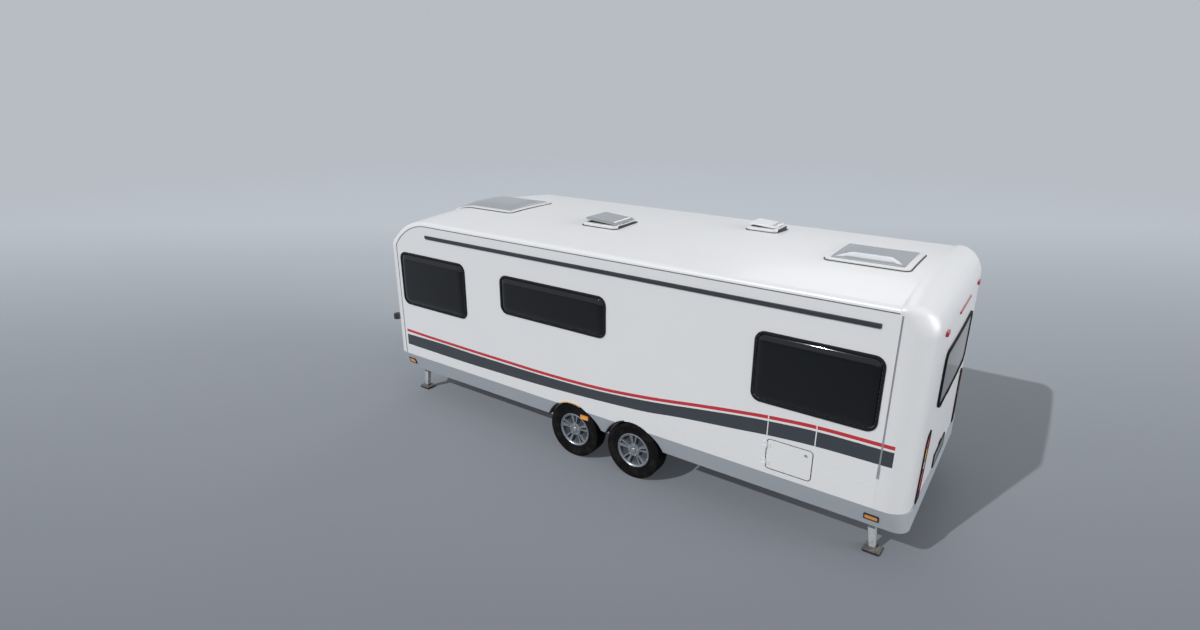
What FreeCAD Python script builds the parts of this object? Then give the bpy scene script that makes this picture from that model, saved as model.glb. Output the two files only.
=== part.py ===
# Twin-axle travel caravan: chassis, panelled cabin, wheels, steadies, doors and roof lights.
# Millimetres, +X towards the tow coupling, +Y to the left, +Z up, ground at z = 0.
# The origin is on the ground under the middle of the overall length and width.
import FreeCAD
import Part
import math
import os

os.makedirs("parts", exist_ok=True)
V = FreeCAD.Vector
X, Y, Z = V(1, 0, 0), V(0, 1, 0), V(0, 0, 1)

# ---- driving dimensions -------------------------------------------------------------------
body_half_width = 1230      # side panels' outer faces
shell_wall = 35             # sandwich wall, whole thickness
panel_rear_x = -3768        # side panel's rear edge, under the corner trim
panel_front_x = 2265        # side panel's front edge
panel_bottom_z = 618
panel_top_z = 2398
nose_arc_radius = 700       # side panel's big top front arc
nose_corner_radius = 80     # its small arc down to the front edge
shell_lip = 3               # flat lip of the roof and end mouldings at the panel edge
roof_edge_radius = 50
roof_camber = 62
end_corner_radius = 200     # vertical corners of the front and rear walls, in plan
end_camber = 14             # bow of the front and rear walls
rear_side_flat = 72         # flat side of the rear moulding behind the panel
rear_top_radius = 300       # curve from the roof down to the rear wall, on the centre line
rear_corner_radius = 25     # side panel's top rear corner
seam = 0.5                  # sealed joint between neighbouring panels
running_gap = 5             # round doors, hatches and lids
pin_gap = 0.3               # pins in their bores, and seats of loose faces

floor_bottom_z = 595
floor_thickness = 45
skirt_bottom_z = 400
skirt_inset = 75            # how far the skirts lean in at their lower edge
skirt_wall = 25

wheel_radius = 325
tyre_width = 188
rim_radius = 200
tyre_inset = 17             # tyre's outer face inside the side panel
front_wheel_x = -514
wheel_spacing = 790
arch_gap = 25               # tyre to wheel arch
wheel_box_wall = 6
wheel_box_margin = 90       # tyre to wheel box, fore and aft and over the top
wheel_box_inner_gap = 40    # tyre's inner face to the box
stub_radius = 20
drum_radius = 122
drum_width = 62
rim_wall = 11
spoke_count = 5
spoke_depth = 28
spoke_window_inner = 72     # windows between the spokes: inner radius, outer margin and angle
spoke_window_margin = 22
spoke_window_angle = 40
spoke_slot_inner = 92       # slots that split each spoke
spoke_slot_margin = 26
spoke_slot_angle = 9
hub_neck_radius = 58
hub_cap_radius = 34
hub_cap_height = 14
hub_inset = 45              # hub face inside the tyre's outer face
axle_tube_radius = 45
axle_trail = 160            # wheel centre behind the axle tube
arm_thickness = 34
arm_inset = 95              # trailing arms' inner faces inside the tyres' inner faces
arm_root_half = 40          # half height of a trailing arm at the tube and at the stub
arm_end_half = 32
arm_root_radius = 52
arm_end_radius = 38
tread_shoulder = 18
tread_margin = 22           # tread and beads inside the tyre's full width, each side
bead_margin = 16

rail_y = 560
rail_width = 60
rail_depth = 200
rail_rear_x = -3700
rail_front_x = 1900
drawbar_width = 50
drawbar_depth = 90
drawbar_rear_x = 1250
drawbar_tip_x = 3680
drawbar_tip_y = 55
coupling_tip_x = 4065
coupling_axis_z = 400
ball_radius = 25.5
ball_depth = 40
ball_inset = 55             # ball's centre behind the coupling's tip
head_radius = 55
head_height = 80
head_drop = 25              # ball socket's mouth below the coupling's axis
overrun_half_width = 85
overrun_height = 75
overrun_rear = 150          # overrun housing behind and ahead of the drawbar's tip
overrun_front = 70
overrun_corner = 14
neck_start = 180
neck_half_width = 34
neck_height = 62
shaft_radius = 30
shaft_rise = 38
handle_length = 160
handle_half_width = 22
handle_rise = 55
handle_thickness = 20
lever_radius = 11
lever_y = 60
lever_offset = 60           # lever's foot behind the drawbar's tip
lever_knee = (-40, 60)      # knee and end of the lever, ahead of and above its foot
lever_end = (150, 230)
lever_foot_half = (30, 15)
lever_foot_height = 12
member_length = 60
member_depth = 120
member_xs = (-3580, -2450, 350, 1720)

steady_y = 945
steady_rear_x = -3770
steady_front_x = 2260
steady_pivot_z = 530
steady_head_radius = 35
steady_width = 60
steady_lean = 60            # pads stand this much nearer the caravan's ends than the pivots
steady_top_half = 45        # half lengths and half widths of the leg's two ends
steady_foot_half = 26
steady_foot_half_width = 22
steady_top_drop = 20
steady_pin_radius = 10
pad_length = 155
pad_width = 130
pad_height = 30
pad_corner = 15
cheek_wall = 8              # bracket's cheeks and the plate they hang from
cheek_half = 45
cheek_drop = 30
cheek_corner = 12
bracket_plate_half = 60
bracket_plate = 6

jockey_x = 3050
jockey_tube_radius = 26
jockey_stem_radius = 21
jockey_wheel_radius = 100
jockey_wheel_width = 50
jockey_trail = 45
jockey_tube_length = 440
jockey_clamp_half = 45
jockey_clamp_height = 14
jockey_clamp_lap = 20       # clamp plate past the drawbar's middle line, each side
jockey_collar = 14          # collar and cap outside the tube
jockey_collar_length = 90
jockey_cap = 4
jockey_cap_height = 22
crank_radius = 7
crank_knob_radius = 11
crank_reach = 110
crank_rise = 33
crank_knob_length = 87
jockey_stem_length = 330
jockey_pivot_radius = 12
jockey_crown_gap = 12       # tyre to the fork's crown
jockey_crown_height = 30
jockey_crown_radius = 34
fork_wall = 6
fork_half_length = 20
fork_drop = 22
jockey_pin_radius = 8
jockey_tread_round = 12

side_lamp_proud = 10
side_lamp_front = (2205, 510, 52, 30)   # x, z, half length, half height
side_lamp_rear = (-3760, 506, 55, 24)
rear_lamp_proud = 8
rear_lamp_outline = [(850, 622), (945, 622), (915, 900), (892, 1190), (850, 1250), (775, 1265),
                     (790, 1100), (815, 850)]
marker_proud = 6
marker_place = (861, 2190, 38, 13)      # y, z, half width, half height
high_light_place = (0, 2198, 299, 11)
plate_proud = 8             # flat face of the number plate holder outside the bowed rear wall
plate_board = 4
plate_half_width = 265
plate_half_height = 68
plate_middle_z = 700
awning_length = (-3623, 1706)           # rear and front ends of the awning rails
awning_height = (2256, 2292)
awning_proud = 14
awning_round = 4
grab_y = 880                            # bow handles at the front corners
grab_bottom_z = 1000
grab_length = 230
grab_radius = 11
grab_rise = 45
grab_root = 20

frame_band = 45             # black window frame's width
frame_lap = 25              # how far it laps the wall round the cut-out
frame_proud = 14
pane_proud = 24
pane_inner = 20             # pane's inner face behind the wall's outer face
window_corner = 95
end_frame_proud = 8         # frames and panes of the front and rear windows follow the wall
end_frame_depth = 25
end_pane_proud = 12

# ---- helpers ------------------------------------------------------------------------------


def line(a, b):
    return Part.LineSegment(a, b).toShape()


def arc(a, b, c):
    return Part.Arc(a, b, c).toShape()


def cylinder(radius, start, end):
    """A round bar from start to end."""
    along = end - start
    return Part.makeCylinder(radius, along.Length, start, along)


def box(low, high):
    return Part.makeBox(high[0] - low[0], high[1] - low[1], high[2] - low[2], V(*low))


def edges_along(shape, axis):
    """Straight edges of a shape that run along an axis."""
    found = []
    for edge in shape.Edges:
        run = edge.Vertexes[-1].Point - edge.Vertexes[0].Point
        if run.Length > 1e-6 and abs(abs(run.normalize().dot(axis)) - 1) < 1e-6:
            found.append(edge)
    return found


def slab(low, high, axis, corner):
    """A box with round corners about one axis."""
    solid = box(low, high)
    return solid.makeFillet(corner, edges_along(solid, axis))


def blend(start, end, share):
    return start + (end - start) * share


def mirror(shape):
    return shape.mirror(V(0, 0, 0), Y)


def save(name, *solids):
    """One STEP file for a node."""
    shape = solids[0] if len(solids) == 1 else Part.makeCompound(list(solids))
    shape.exportStep("parts/" + name + ".step")


# ---- the moulded outer skin: roof, front wall and rear wall --------------------------------


def skin_section(origin, outward, straight, radius, camber, offset, wall):
    """Closed outline across the caravan: two flats, two edge arcs and a cambered middle.

    origin lies on the centre line at the panel's edge and outward points out of the body.
    offset moves the outer face out, and wall is the thickness behind it.
    """
    lean = 2 * math.atan(camber / (body_half_width - radius))
    centre_y = body_half_width - radius

    def point(y, d):
        return origin + Y * y + outward * d

    def half(skin):
        """Points from the panel's edge to the crown, with the skin moved out by skin."""
        r = radius + skin
        middle = (math.pi / 2 + lean) / 2
        corner = (centre_y + r * math.sin(lean), straight + r * math.cos(lean))
        crown = corner[1] + corner[0] * math.tan(lean / 2)
        return [
            (centre_y + r, 0),
            (centre_y + r, straight),
            (centre_y + r * math.sin(middle), straight + r * math.cos(middle)),
            corner,
            (0, crown),
        ]

    def run(skin):
        a, b, c, d, e = half(skin)
        return [
            line(point(*a), point(*b)),
            arc(point(*b), point(*c), point(*d)),
            arc(point(*d), point(*e), point(-d[0], d[1])),
            arc(point(-d[0], d[1]), point(-c[0], c[1]), point(-b[0], b[1])),
            line(point(-b[0], b[1]), point(-a[0], a[1])),
        ]

    outer, inner = half(offset)[0][0], half(offset - wall)[0][0]
    edges = run(offset)
    edges.append(line(point(-outer, 0), point(-inner, 0)))
    edges += run(offset - wall)
    edges.append(line(point(inner, 0), point(outer, 0)))
    return Part.Wire(Part.__sortEdges__(edges))


def outward_at(turn):
    """Direction out of the body, turn degrees from straight up towards the front."""
    return V(math.sin(math.radians(turn)), 0, math.cos(math.radians(turn)))


roof_start_x = panel_front_x - math.sqrt(nose_arc_radius ** 2 - (nose_arc_radius - 292) ** 2)
nose_centre = V(roof_start_x, 0, panel_top_z - nose_arc_radius)
corner_x = panel_front_x - nose_corner_radius
corner_rise = math.sqrt((nose_arc_radius - nose_corner_radius) ** 2 - (corner_x - nose_centre.x) ** 2)
corner_centre = V(corner_x, 0, nose_centre.z + corner_rise)
nose_turn = math.degrees(math.atan2(corner_x - nose_centre.x, corner_rise))
rear_corner = V(panel_rear_x + rear_corner_radius, 0, panel_top_z - rear_corner_radius)


def crown_of(straight, radius, camber):
    """Height of a skin section's crown over the panel's edge."""
    lean = 2 * math.atan(camber / (body_half_width - radius))
    side = body_half_width - radius + radius * math.sin(lean)
    return straight + radius * math.cos(lean) + side * math.tan(lean / 2)


roof_top_z = panel_top_z + crown_of(shell_lip, roof_edge_radius, roof_camber)
rear_end_x = panel_rear_x - crown_of(shell_lip + rear_side_flat, end_corner_radius, end_camber)
front_end_x = panel_front_x + crown_of(shell_lip, end_corner_radius, end_camber)


rear_curve_x = rear_end_x + rear_top_radius         # axis of the top rear curve
rear_curve_z = roof_top_z - rear_top_radius


def rear_reach(turn, drop):
    """Distance from the rear corner's axis, lowered by drop, to the outer skin on the centre
    line, turn degrees back from straight up."""
    sine, cosine = math.sin(math.radians(turn)), math.cos(math.radians(turn))
    dx, dz = rear_corner.x - rear_curve_x, rear_corner.z - drop - rear_curve_z
    along = dz * cosine - dx * sine
    curve = math.sqrt(along ** 2 + rear_top_radius ** 2 - dx ** 2 - dz ** 2) - along
    if dx - curve * sine > 0:
        return (rear_top_radius - dz) / cosine
    return curve


def roof_skin(offset, wall):
    start = V(rear_corner.x + seam, 0, panel_top_z)
    section = skin_section(start, Z, shell_lip, roof_edge_radius, roof_camber, offset, wall)
    return Part.Face(section).extrude(X * (roof_start_x - start.x))


def nose_section(centre, radius, turn, offset, wall):
    outward = outward_at(turn)
    share = turn / 90
    return skin_section(
        centre + outward * radius, outward, shell_lip,
        blend(roof_edge_radius, end_corner_radius, share ** 2),
        blend(roof_camber, end_camber, share), offset, wall)


def front_skin(offset, wall):
    """Front wall: an upright part and two lofted curves that follow the side panel's edge."""
    big = [nose_section(nose_centre, nose_arc_radius, nose_turn * i / 4, offset, wall)
           for i in range(5)]
    small = [nose_section(corner_centre, nose_corner_radius, blend(nose_turn, 90, i / 2), offset, wall)
             for i in range(3)]
    foot = V(panel_front_x, 0, panel_bottom_z)
    upright = Part.Face(skin_section(foot, X, shell_lip, end_corner_radius, end_camber, offset, wall))
    upright = upright.extrude(Z * (corner_centre.z - panel_bottom_z))
    return upright.fuse([Part.makeLoft(small, True), Part.makeLoft(big, True)])


def rear_section(turn, drop, offset, wall):
    share = turn / 90
    radius = blend(roof_edge_radius, end_corner_radius, share ** 2)
    camber = blend(roof_camber, end_camber, share)
    straight = rear_reach(turn, drop) - rear_corner_radius - crown_of(0, radius, camber)
    outward = outward_at(-turn)
    origin = rear_corner - Z * drop + outward * rear_corner_radius
    return skin_section(origin, outward, straight, radius, camber, offset, wall)


def rear_skin(offset, wall):
    """Rear wall: an upright part, and a top curve lofted first round the side panel's corner
    and then down its rear edge."""
    depth = rear_corner.z - rear_curve_z
    round_corner = [rear_section(90 * i / 6, 0, offset, wall) for i in range(7)]
    down_edge = [rear_section(90, depth * i / 4, offset, wall) for i in range(5)]
    upright = Part.Face(down_edge[-1]).extrude(Z * (panel_bottom_z - rear_curve_z))
    return upright.fuse([Part.makeLoft(round_corner, True), Part.makeLoft(down_edge, True)])


def outer_body(z_low, z_high, inset_by):
    """The body's rounded plan between two heights, moved in by inset_by."""
    low = V(rear_end_x + inset_by, -body_half_width + inset_by, z_low)
    high = V(front_end_x - inset_by, body_half_width - inset_by, z_high)
    return slab(low, high, Z, end_corner_radius - inset_by)


def hinge(place, to_fixed, outward, root, tab, barrel):
    """A barrel hinge's fixed and moving halves. place is on the pin, to_fixed points to the
    fixed side, outward leaves the surface, the tabs reach root below the pin and tab across."""
    half, pin = hinge_length / 2, barrel / 2
    gap = pin_gap
    moving = Part.makeCylinder(barrel, 2 * half, V(0, 0, -half))
    moving = moving.fuse([
        box((-tab, -root, -half), (-barrel - 4, -barrel / 2, half)),
        box((-barrel - 5, -barrel, -half), (0, 0, half)).cut(
            box((-3, -barrel, -half), (0, 3 - barrel, half))),
    ])
    moving = moving.cut(Part.makeCylinder(pin + gap, 4 * half, V(0, 0, -2 * half)))
    fixed = Part.makeCylinder(pin, 2 * half + 24, V(0, 0, -half - 12))
    for low, high in ((-half - 12, -half - 1), (half + 1, half + 12)):
        fixed = fixed.fuse([
            Part.makeCylinder(barrel, high - low, V(0, 0, low)),
            box((barrel + 4, -root, low), (tab, -barrel / 2, high)),
            box((0, -barrel, low), (barrel + 5, 0, high)),
        ])
    turn = FreeCAD.Placement(place, FreeCAD.Rotation(to_fixed, outward, to_fixed.cross(outward), "XYZ"))
    fixed.Placement = moving.Placement = turn
    return fixed, moving


# ---- places of wheels, windows, doors, hatches and roof fittings ---------------------------
floor_top_z = floor_bottom_z + floor_thickness
tyre_outer_y = body_half_width - tyre_inset
tyre_inner_y = tyre_outer_y - tyre_width
arch_radius = wheel_radius + arch_gap
wheel_xs = {"front": front_wheel_x, "rear": front_wheel_x - wheel_spacing}

side_windows = [    # side, rear x, front x, bottom z, top z
    ("left", 1066, 2201, 1336, 2028),
    ("left", -965, 500, 1545, 2005),
    ("left", -3704, -2583, 1332, 2018),
    ("right", 1330, 2201, 1336, 2028),
    ("right", -1700, -700, 1545, 2005),
    ("right", -3704, -2583, 1332, 2018),
]
end_windows = {     # half width, bottom z, top z
    "front": (800, 1330, 1960),
    "rear": (700, 1420, 1960),
}
door = (20, 640, 650, 2235)             # rear x, front x, bottom z, top z
door_window = (175, 485, 1480, 1960)
door_corner = 60
hatch = (-3213, -2780, 675, 980)
hatch_corner = 35
locker = (720, 690, 1180)               # half width, bottom z, top z
locker_corner = 60
locker_depth = 460
hinge_radius = 8
hinge_proud = 9                         # hinge pins outside the skin
hinge_length = 36
hinge_tab = 38
skylights = {                           # rear x, front x, half width
    "front": (1040, 2040, 415),
    "rear": (-3616, -2848, 367),
}
skylight_band = 55
skylight_corner = 60
skylight_proud = 20
dome_rise = 6
dome_thickness = 30
vents = {                               # rear x, front x, middle y, half width
    "middle": (-550, -80, 205, 235),
    "rear": (-2080, -1720, -600, 175),
}
vent_band = 40
vent_proud = 30
vent_tilt = 4                           # degrees that the lids stand open
vent_lid_inset = 28                     # lid's edge inside the frame's
vent_rim = 14                           # the lid's flat rim, and the raised pane on it
vent_pane = 5
vent_pane_margin = 50
vent_hinge_radius = 5
vent_hinge_tab = 16


def side_slab(place, corner, margin, y_low, y_high):
    """A slab on the left side panel, smaller than its place by a margin."""
    x0, x1, z0, z1 = place
    return slab((x0 + margin, y_low, z0 + margin), (x1 - margin, y_high, z1 - margin), Y,
                corner - margin)


def through_side(place, corner, margin):
    return side_slab(place, corner, margin, body_half_width - 2 * shell_wall,
                     body_half_width + shell_wall)


def end_slab(place, corner, margin, x_low, x_high):
    """A slab across the front or rear wall, smaller than its place by a margin."""
    half, z0, z1 = place
    return slab((x_low, -half + margin, z0 + margin), (x_high, half - margin, z1 - margin), X,
                corner - margin)


def roof_slab(place, corner, margin, z_low, z_high):
    x0, x1, y, half = place
    return slab((x0 + margin, y - half + margin, z_low), (x1 - margin, y + half - margin, z_high), Z,
                corner - margin)


def skylight_place(name):
    x0, x1, half = skylights[name]
    return x0, x1, 0, half


def cut_arches(shape):
    """Cut both round wheel arches of the left side."""
    for x in wheel_xs.values():
        shape = shape.cut(cylinder(arch_radius, V(x, 0, wheel_radius),
                                   V(x, 2 * body_half_width, wheel_radius)))
    return shape


# ---- cabin: floor, wheel boxes, side walls, end walls and roof -------------------------------
box_low = (wheel_xs["rear"] - wheel_radius - wheel_box_margin, tyre_inner_y - wheel_box_inner_gap,
           floor_bottom_z)
box_high = (wheel_xs["front"] + wheel_radius + wheel_box_margin, body_half_width - shell_wall,
            2 * wheel_radius + wheel_box_margin)
wheel_box_block = box(box_low, box_high)
wheel_box = wheel_box_block.cut(box(
    (box_low[0] + wheel_box_wall, box_low[1] + wheel_box_wall, box_low[2]),
    (box_high[0] - wheel_box_wall, box_high[1], box_high[2] - wheel_box_wall)))
save("wheel_boxes", wheel_box, mirror(wheel_box))

floor = outer_body(floor_bottom_z, floor_top_z, shell_wall + seam)
end_walls = [front_skin(0, shell_wall), rear_skin(0, shell_wall)]
save("floor", floor.cut([wheel_box_block, mirror(wheel_box_block)] + end_walls))


def side_panel(side):
    """Flat side panel as on the left, with its nose curve, window cut-outs and wheel arches."""
    rear_x, front_x, top = panel_rear_x + seam, panel_front_x - seam, panel_top_z - seam
    inner_y = body_half_width - shell_wall
    rear_radius = rear_corner_radius - seam

    def at(centre, radius, turn):
        return centre + outward_at(turn) * radius + Y * inner_y

    nose = [at(nose_centre, nose_arc_radius - seam, nose_turn * i / 2) for i in range(3)]
    corner = [at(corner_centre, nose_corner_radius - seam, blend(nose_turn, 90, i / 2)) for i in range(3)]
    back = [at(rear_corner, rear_radius, -45 * i) for i in range(3)]
    foot = [V(rear_x, inner_y, panel_bottom_z), V(front_x, inner_y, panel_bottom_z)]
    panel = Part.Face(Part.Wire([
        line(*foot), line(foot[1], corner[2]), arc(corner[2], corner[1], corner[0]),
        arc(nose[2], nose[1], nose[0]), line(nose[0], back[0]), arc(*back), line(back[2], foot[0]),
    ])).extrude(Y * shell_wall)
    for window_side, *place in side_windows:
        if window_side == side:
            panel = panel.cut(through_side(place, window_corner, frame_lap))
    return cut_arches(panel)


def leaf_on_side(place, corner):
    """A door or hatch in the left side panel, and its hinges' fixed halves on the wall. The
    pins stand at its front edge."""
    x0, x1, z0, z1 = place
    leaf = side_slab(place, corner, running_gap, body_half_width - shell_wall, body_half_width)
    pin_x = x1 - running_gap / 2
    fixed_halves = []
    for share in hinge_shares:
        pin = V(pin_x, body_half_width + hinge_proud, blend(z0, z1, share))
        fixed, moving = hinge(pin, X, Y, hinge_proud + hinge_root, hinge_tab, hinge_radius)
        leaf = leaf.fuse(moving)
        fixed_halves.append(fixed)
    return leaf, fixed_halves


hinge_shares = (0.2, 0.8)
hinge_root = 8              # hinge tabs let into the panel
hatch_leaf, hatch_hinges = leaf_on_side(hatch, hatch_corner)
left_wall = side_panel("left").cut(through_side(hatch, hatch_corner, 0)).fuse(hatch_hinges)
save("left_wall", left_wall)
save("service_hatch", hatch_leaf)

door_leaf, door_hinges = leaf_on_side(door, door_corner)
door_leaf = door_leaf.cut(through_side(door_window, window_corner, frame_lap))
right_wall = side_panel("right").cut(through_side(door, door_corner, 0)).fuse(door_hinges)
save("right_wall", mirror(right_wall))
save("entrance_door", mirror(door_leaf))

front_wall, rear_wall = end_walls
roof = roof_skin(0, shell_wall)
reach = end_corner_radius
locker_lid = front_wall.common(
    end_slab(locker, locker_corner, running_gap, front_end_x - reach, front_end_x + reach))
front_wall = front_wall.cut([
    end_slab(locker, locker_corner, 0, front_end_x - reach, front_end_x + reach),
    end_slab(end_windows["front"], window_corner, frame_lap, front_end_x - reach, front_end_x + reach),
])
rear_wall = rear_wall.cut(end_slab(
    end_windows["rear"], window_corner, frame_lap, rear_end_x - reach, rear_end_x + reach))
for name in skylights:
    hole = roof_slab(skylight_place(name), skylight_corner, skylight_band - 15, panel_top_z - reach,
                     roof_top_z + reach)
    roof, front_wall = roof.cut(hole), front_wall.cut(hole)
for place in vents.values():
    roof = roof.cut(roof_slab(place, skylight_corner, vent_band - 10, panel_top_z - reach,
                              roof_top_z + reach))
for y in (-locker[0] * 0.7, 0, locker[0] * 0.7):
    pin = V(front_end_x + hinge_proud, y, locker[2] - running_gap / 2)
    fixed, moving = hinge(pin, Z, X, hinge_proud + 2 * hinge_root, hinge_tab, hinge_radius)
    front_wall, locker_lid = front_wall.fuse(fixed), locker_lid.fuse(moving)
save("front_wall", front_wall)
save("rear_wall", rear_wall)
save("roof", roof)
save("gas_locker_lid", locker_lid)

bulkhead_x = front_end_x - shell_wall - locker_depth
shelf_z = locker[2] + 60
cabin_half = body_half_width - shell_wall
save("gas_locker_bulkhead", box((bulkhead_x - 15, -cabin_half, floor_top_z),
                                (bulkhead_x, cabin_half, shelf_z)))
shelf = outer_body(shelf_z, shelf_z + 15, shell_wall + seam)
shelf = shelf.common(box((bulkhead_x - 15, -cabin_half, 0), (front_end_x, cabin_half, panel_top_z)))
save("gas_locker_shelf", shelf.cut(front_wall))

# ---- skirts round the lower edge, leaning in --------------------------------------------------


def plan_outline(z, inset_by, rear_inset):
    """Rounded outline of the body in plan at a height."""
    low = V(rear_end_x + rear_inset, -body_half_width + inset_by, z)
    high = V(front_end_x - inset_by, body_half_width - inset_by, z + 1)
    flat = slab(low, high, Z, end_corner_radius - inset_by)
    return [f for f in flat.Faces if abs(f.CenterOfMass.z - z) < 1e-6][0].OuterWire


def skirt_shell(rear_inset):
    """Skirt all round, leaning in by skirt_inset and at the rear by rear_inset."""
    def hull(wall):
        return Part.makeLoft([
            plan_outline(skirt_bottom_z, skirt_inset + wall, rear_inset + wall),
            plan_outline(skirt_top_z, wall, wall)], True, True)
    return hull(0).cut(hull(skirt_wall))


skirt_top_z = panel_bottom_z - seam
skirt = skirt_shell(skirt_inset)
far = 2 * coupling_tip_x
left_sill = skirt.common(box((panel_rear_x, 0, 0), (panel_front_x, far, panel_top_z)))
left_sill = cut_arches(left_sill)
save("left_sill", left_sill)
save("right_sill", mirror(left_sill))
save("front_skirt", skirt.common(box((panel_front_x + seam, -far, 0), (far, far, panel_top_z))))
save("rear_bumper", skirt_shell(0).common(box((-far, -far, 0), (panel_rear_x - seam, far, panel_top_z))))

# ---- chassis: rails, cross members, drawbar, coupling and handbrake ---------------------------
rail_bottom_z = floor_bottom_z - rail_depth
half_rail = rail_width / 2
save("chassis_rails", *[
    box((rail_rear_x, y - half_rail, rail_bottom_z), (rail_front_x, y + half_rail, floor_bottom_z))
    for y in (rail_y, -rail_y)])
save("cross_members", *[
    box((x, -rail_y + half_rail, floor_bottom_z - member_depth),
        (x + member_length, rail_y - half_rail, floor_bottom_z))
    for x in member_xs])

drawbar_bottom_z = rail_bottom_z - drawbar_depth
arm_run = V(drawbar_tip_x - drawbar_rear_x, drawbar_tip_y - rail_y, 0)
arm_side = Z.cross(arm_run).normalize() * (drawbar_width / 2)
arm_start = V(drawbar_rear_x, rail_y, drawbar_bottom_z)
arm_base = [arm_start + arm_side, arm_start - arm_side,
            arm_start - arm_side + arm_run, arm_start + arm_side + arm_run]
drawbar_arm = Part.Face(Part.makePolygon(arm_base + arm_base[:1])).extrude(Z * drawbar_depth)
save("drawbar", drawbar_arm, mirror(drawbar_arm))

overrun_low = (drawbar_tip_x - overrun_rear, -overrun_half_width, rail_bottom_z)
overrun_high = (drawbar_tip_x + overrun_front, overrun_half_width, rail_bottom_z + overrun_height)
ball_x = coupling_tip_x - ball_inset
socket = V(ball_x, 0, coupling_axis_z - head_drop)
shaft_z = rail_bottom_z + shaft_rise
head = Part.makeCylinder(head_radius, head_height, socket)
neck = box((drawbar_tip_x + neck_start, -neck_half_width, coupling_axis_z),
           (ball_x, neck_half_width, coupling_axis_z + neck_height))
shaft = cylinder(shaft_radius, V(overrun_low[0], 0, shaft_z), V(ball_x - 1.5 * head_radius, 0, shaft_z))
handle_low = V(ball_x + 10 - handle_length, -handle_half_width, coupling_axis_z + handle_rise)
handle = slab(handle_low, handle_low + V(handle_length, 2 * handle_half_width, handle_thickness), Z,
              handle_half_width / 2)
coupling = slab(overrun_low, overrun_high, X, overrun_corner).fuse([head, neck, shaft, handle])
save("coupling_head", coupling.cut(Part.makeCylinder(ball_radius, ball_depth, socket)))

lever_foot = V(drawbar_tip_x - lever_offset, lever_y, overrun_high[2] + seam)
knee = lever_foot + X * lever_knee[0] + Z * lever_knee[1]
foot_low = lever_foot - X * lever_foot_half[0] - Y * lever_foot_half[1]
foot_high = lever_foot + X * lever_foot_half[0] + Y * lever_foot_half[1] + Z * lever_foot_height
save("handbrake_lever", cylinder(lever_radius, lever_foot + Z * lever_foot_height, knee).fuse([
    cylinder(lever_radius, knee, lever_foot + X * lever_end[0] + Z * lever_end[1]),
    Part.makeSphere(lever_radius, knee), slab(foot_low, foot_high, Z, lever_foot_half[1] / 2)]))

# ---- axles and wheels --------------------------------------------------------------------------
axle_z = rail_bottom_z - axle_tube_radius
arm_inner_y = tyre_inner_y - arm_inset
drum_inner_y = arm_inner_y + arm_thickness + running_gap + 3
hub_face_y = tyre_outer_y - hub_inset


stub_end = 12               # stub pin's end behind the hub's face


def axle(wheel_x):
    """Rubber-sprung axle tube with trailing arms and stub pins."""
    tube_x = wheel_x + axle_trail
    solid = cylinder(axle_tube_radius, V(tube_x, -arm_inner_y, axle_z), V(tube_x, arm_inner_y, axle_z))
    for side in (1, -1):
        start, end = V(tube_x, side * arm_inner_y, axle_z), V(wheel_x, side * arm_inner_y, wheel_radius)
        across = Y * (side * arm_thickness)
        run = end - start
        lift = Y.cross(run).normalize()
        root, tip = lift * arm_root_half, lift * arm_end_half
        bar = Part.Face(Part.makePolygon([start + root, start - root, end - tip, end + tip, start + root]))
        solid = solid.fuse([
            bar.extrude(across), cylinder(arm_root_radius, start, start + across),
            cylinder(arm_end_radius, end, end + across),
            cylinder(stub_radius, end, V(wheel_x, side * (hub_face_y - stub_end), wheel_radius)),
        ])
    return solid


def sector(inner, outer, middle, spread, y_low, y_high):
    """A ring sector about the wheel's axis, for cutting between spokes."""
    def at(r, turn):
        return V(r * math.cos(math.radians(turn)), y_low, r * math.sin(math.radians(turn)))
    first, last = middle - spread / 2, middle + spread / 2
    edges = [
        arc(at(inner, first), at(inner, middle), at(inner, last)),
        line(at(inner, last), at(outer, last)),
        arc(at(outer, last), at(outer, middle), at(outer, first)),
        line(at(outer, first), at(inner, first)),
    ]
    return Part.Face(Part.Wire(edges)).extrude(Y * (y_high - y_low))


def wheel_tyre():
    """Tyre as a turned section: tread, shoulders, bulging sidewalls and bead."""
    bead, tread = rim_radius, wheel_radius
    middle = (tyre_inner_y + tyre_outer_y) / 2
    tread_half, bead_half = tyre_width / 2 - tread_margin, tyre_width / 2 - bead_margin
    wall = tyre_width / 2, (bead + tread) / 2
    side = tread_half + tread_shoulder, tread - tread_shoulder
    bend = tread_half + tread_shoulder * 0.7, tread - tread_shoulder * 0.3

    def at(y, r):
        return V(0, middle + y, r)

    edges = [
        line(at(-bead_half, bead), at(bead_half, bead)),
        arc(at(bead_half, bead), at(*wall), at(*side)),
        arc(at(*side), at(*bend), at(tread_half, tread)),
        line(at(tread_half, tread), at(-tread_half, tread)),
        arc(at(-tread_half, tread), at(-bend[0], bend[1]), at(-side[0], side[1])),
        arc(at(-side[0], side[1]), at(-wall[0], wall[1]), at(-bead_half, bead)),
    ]
    return Part.Face(Part.Wire(edges)).revolve(V(0, 0, 0), Y, 360)


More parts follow.
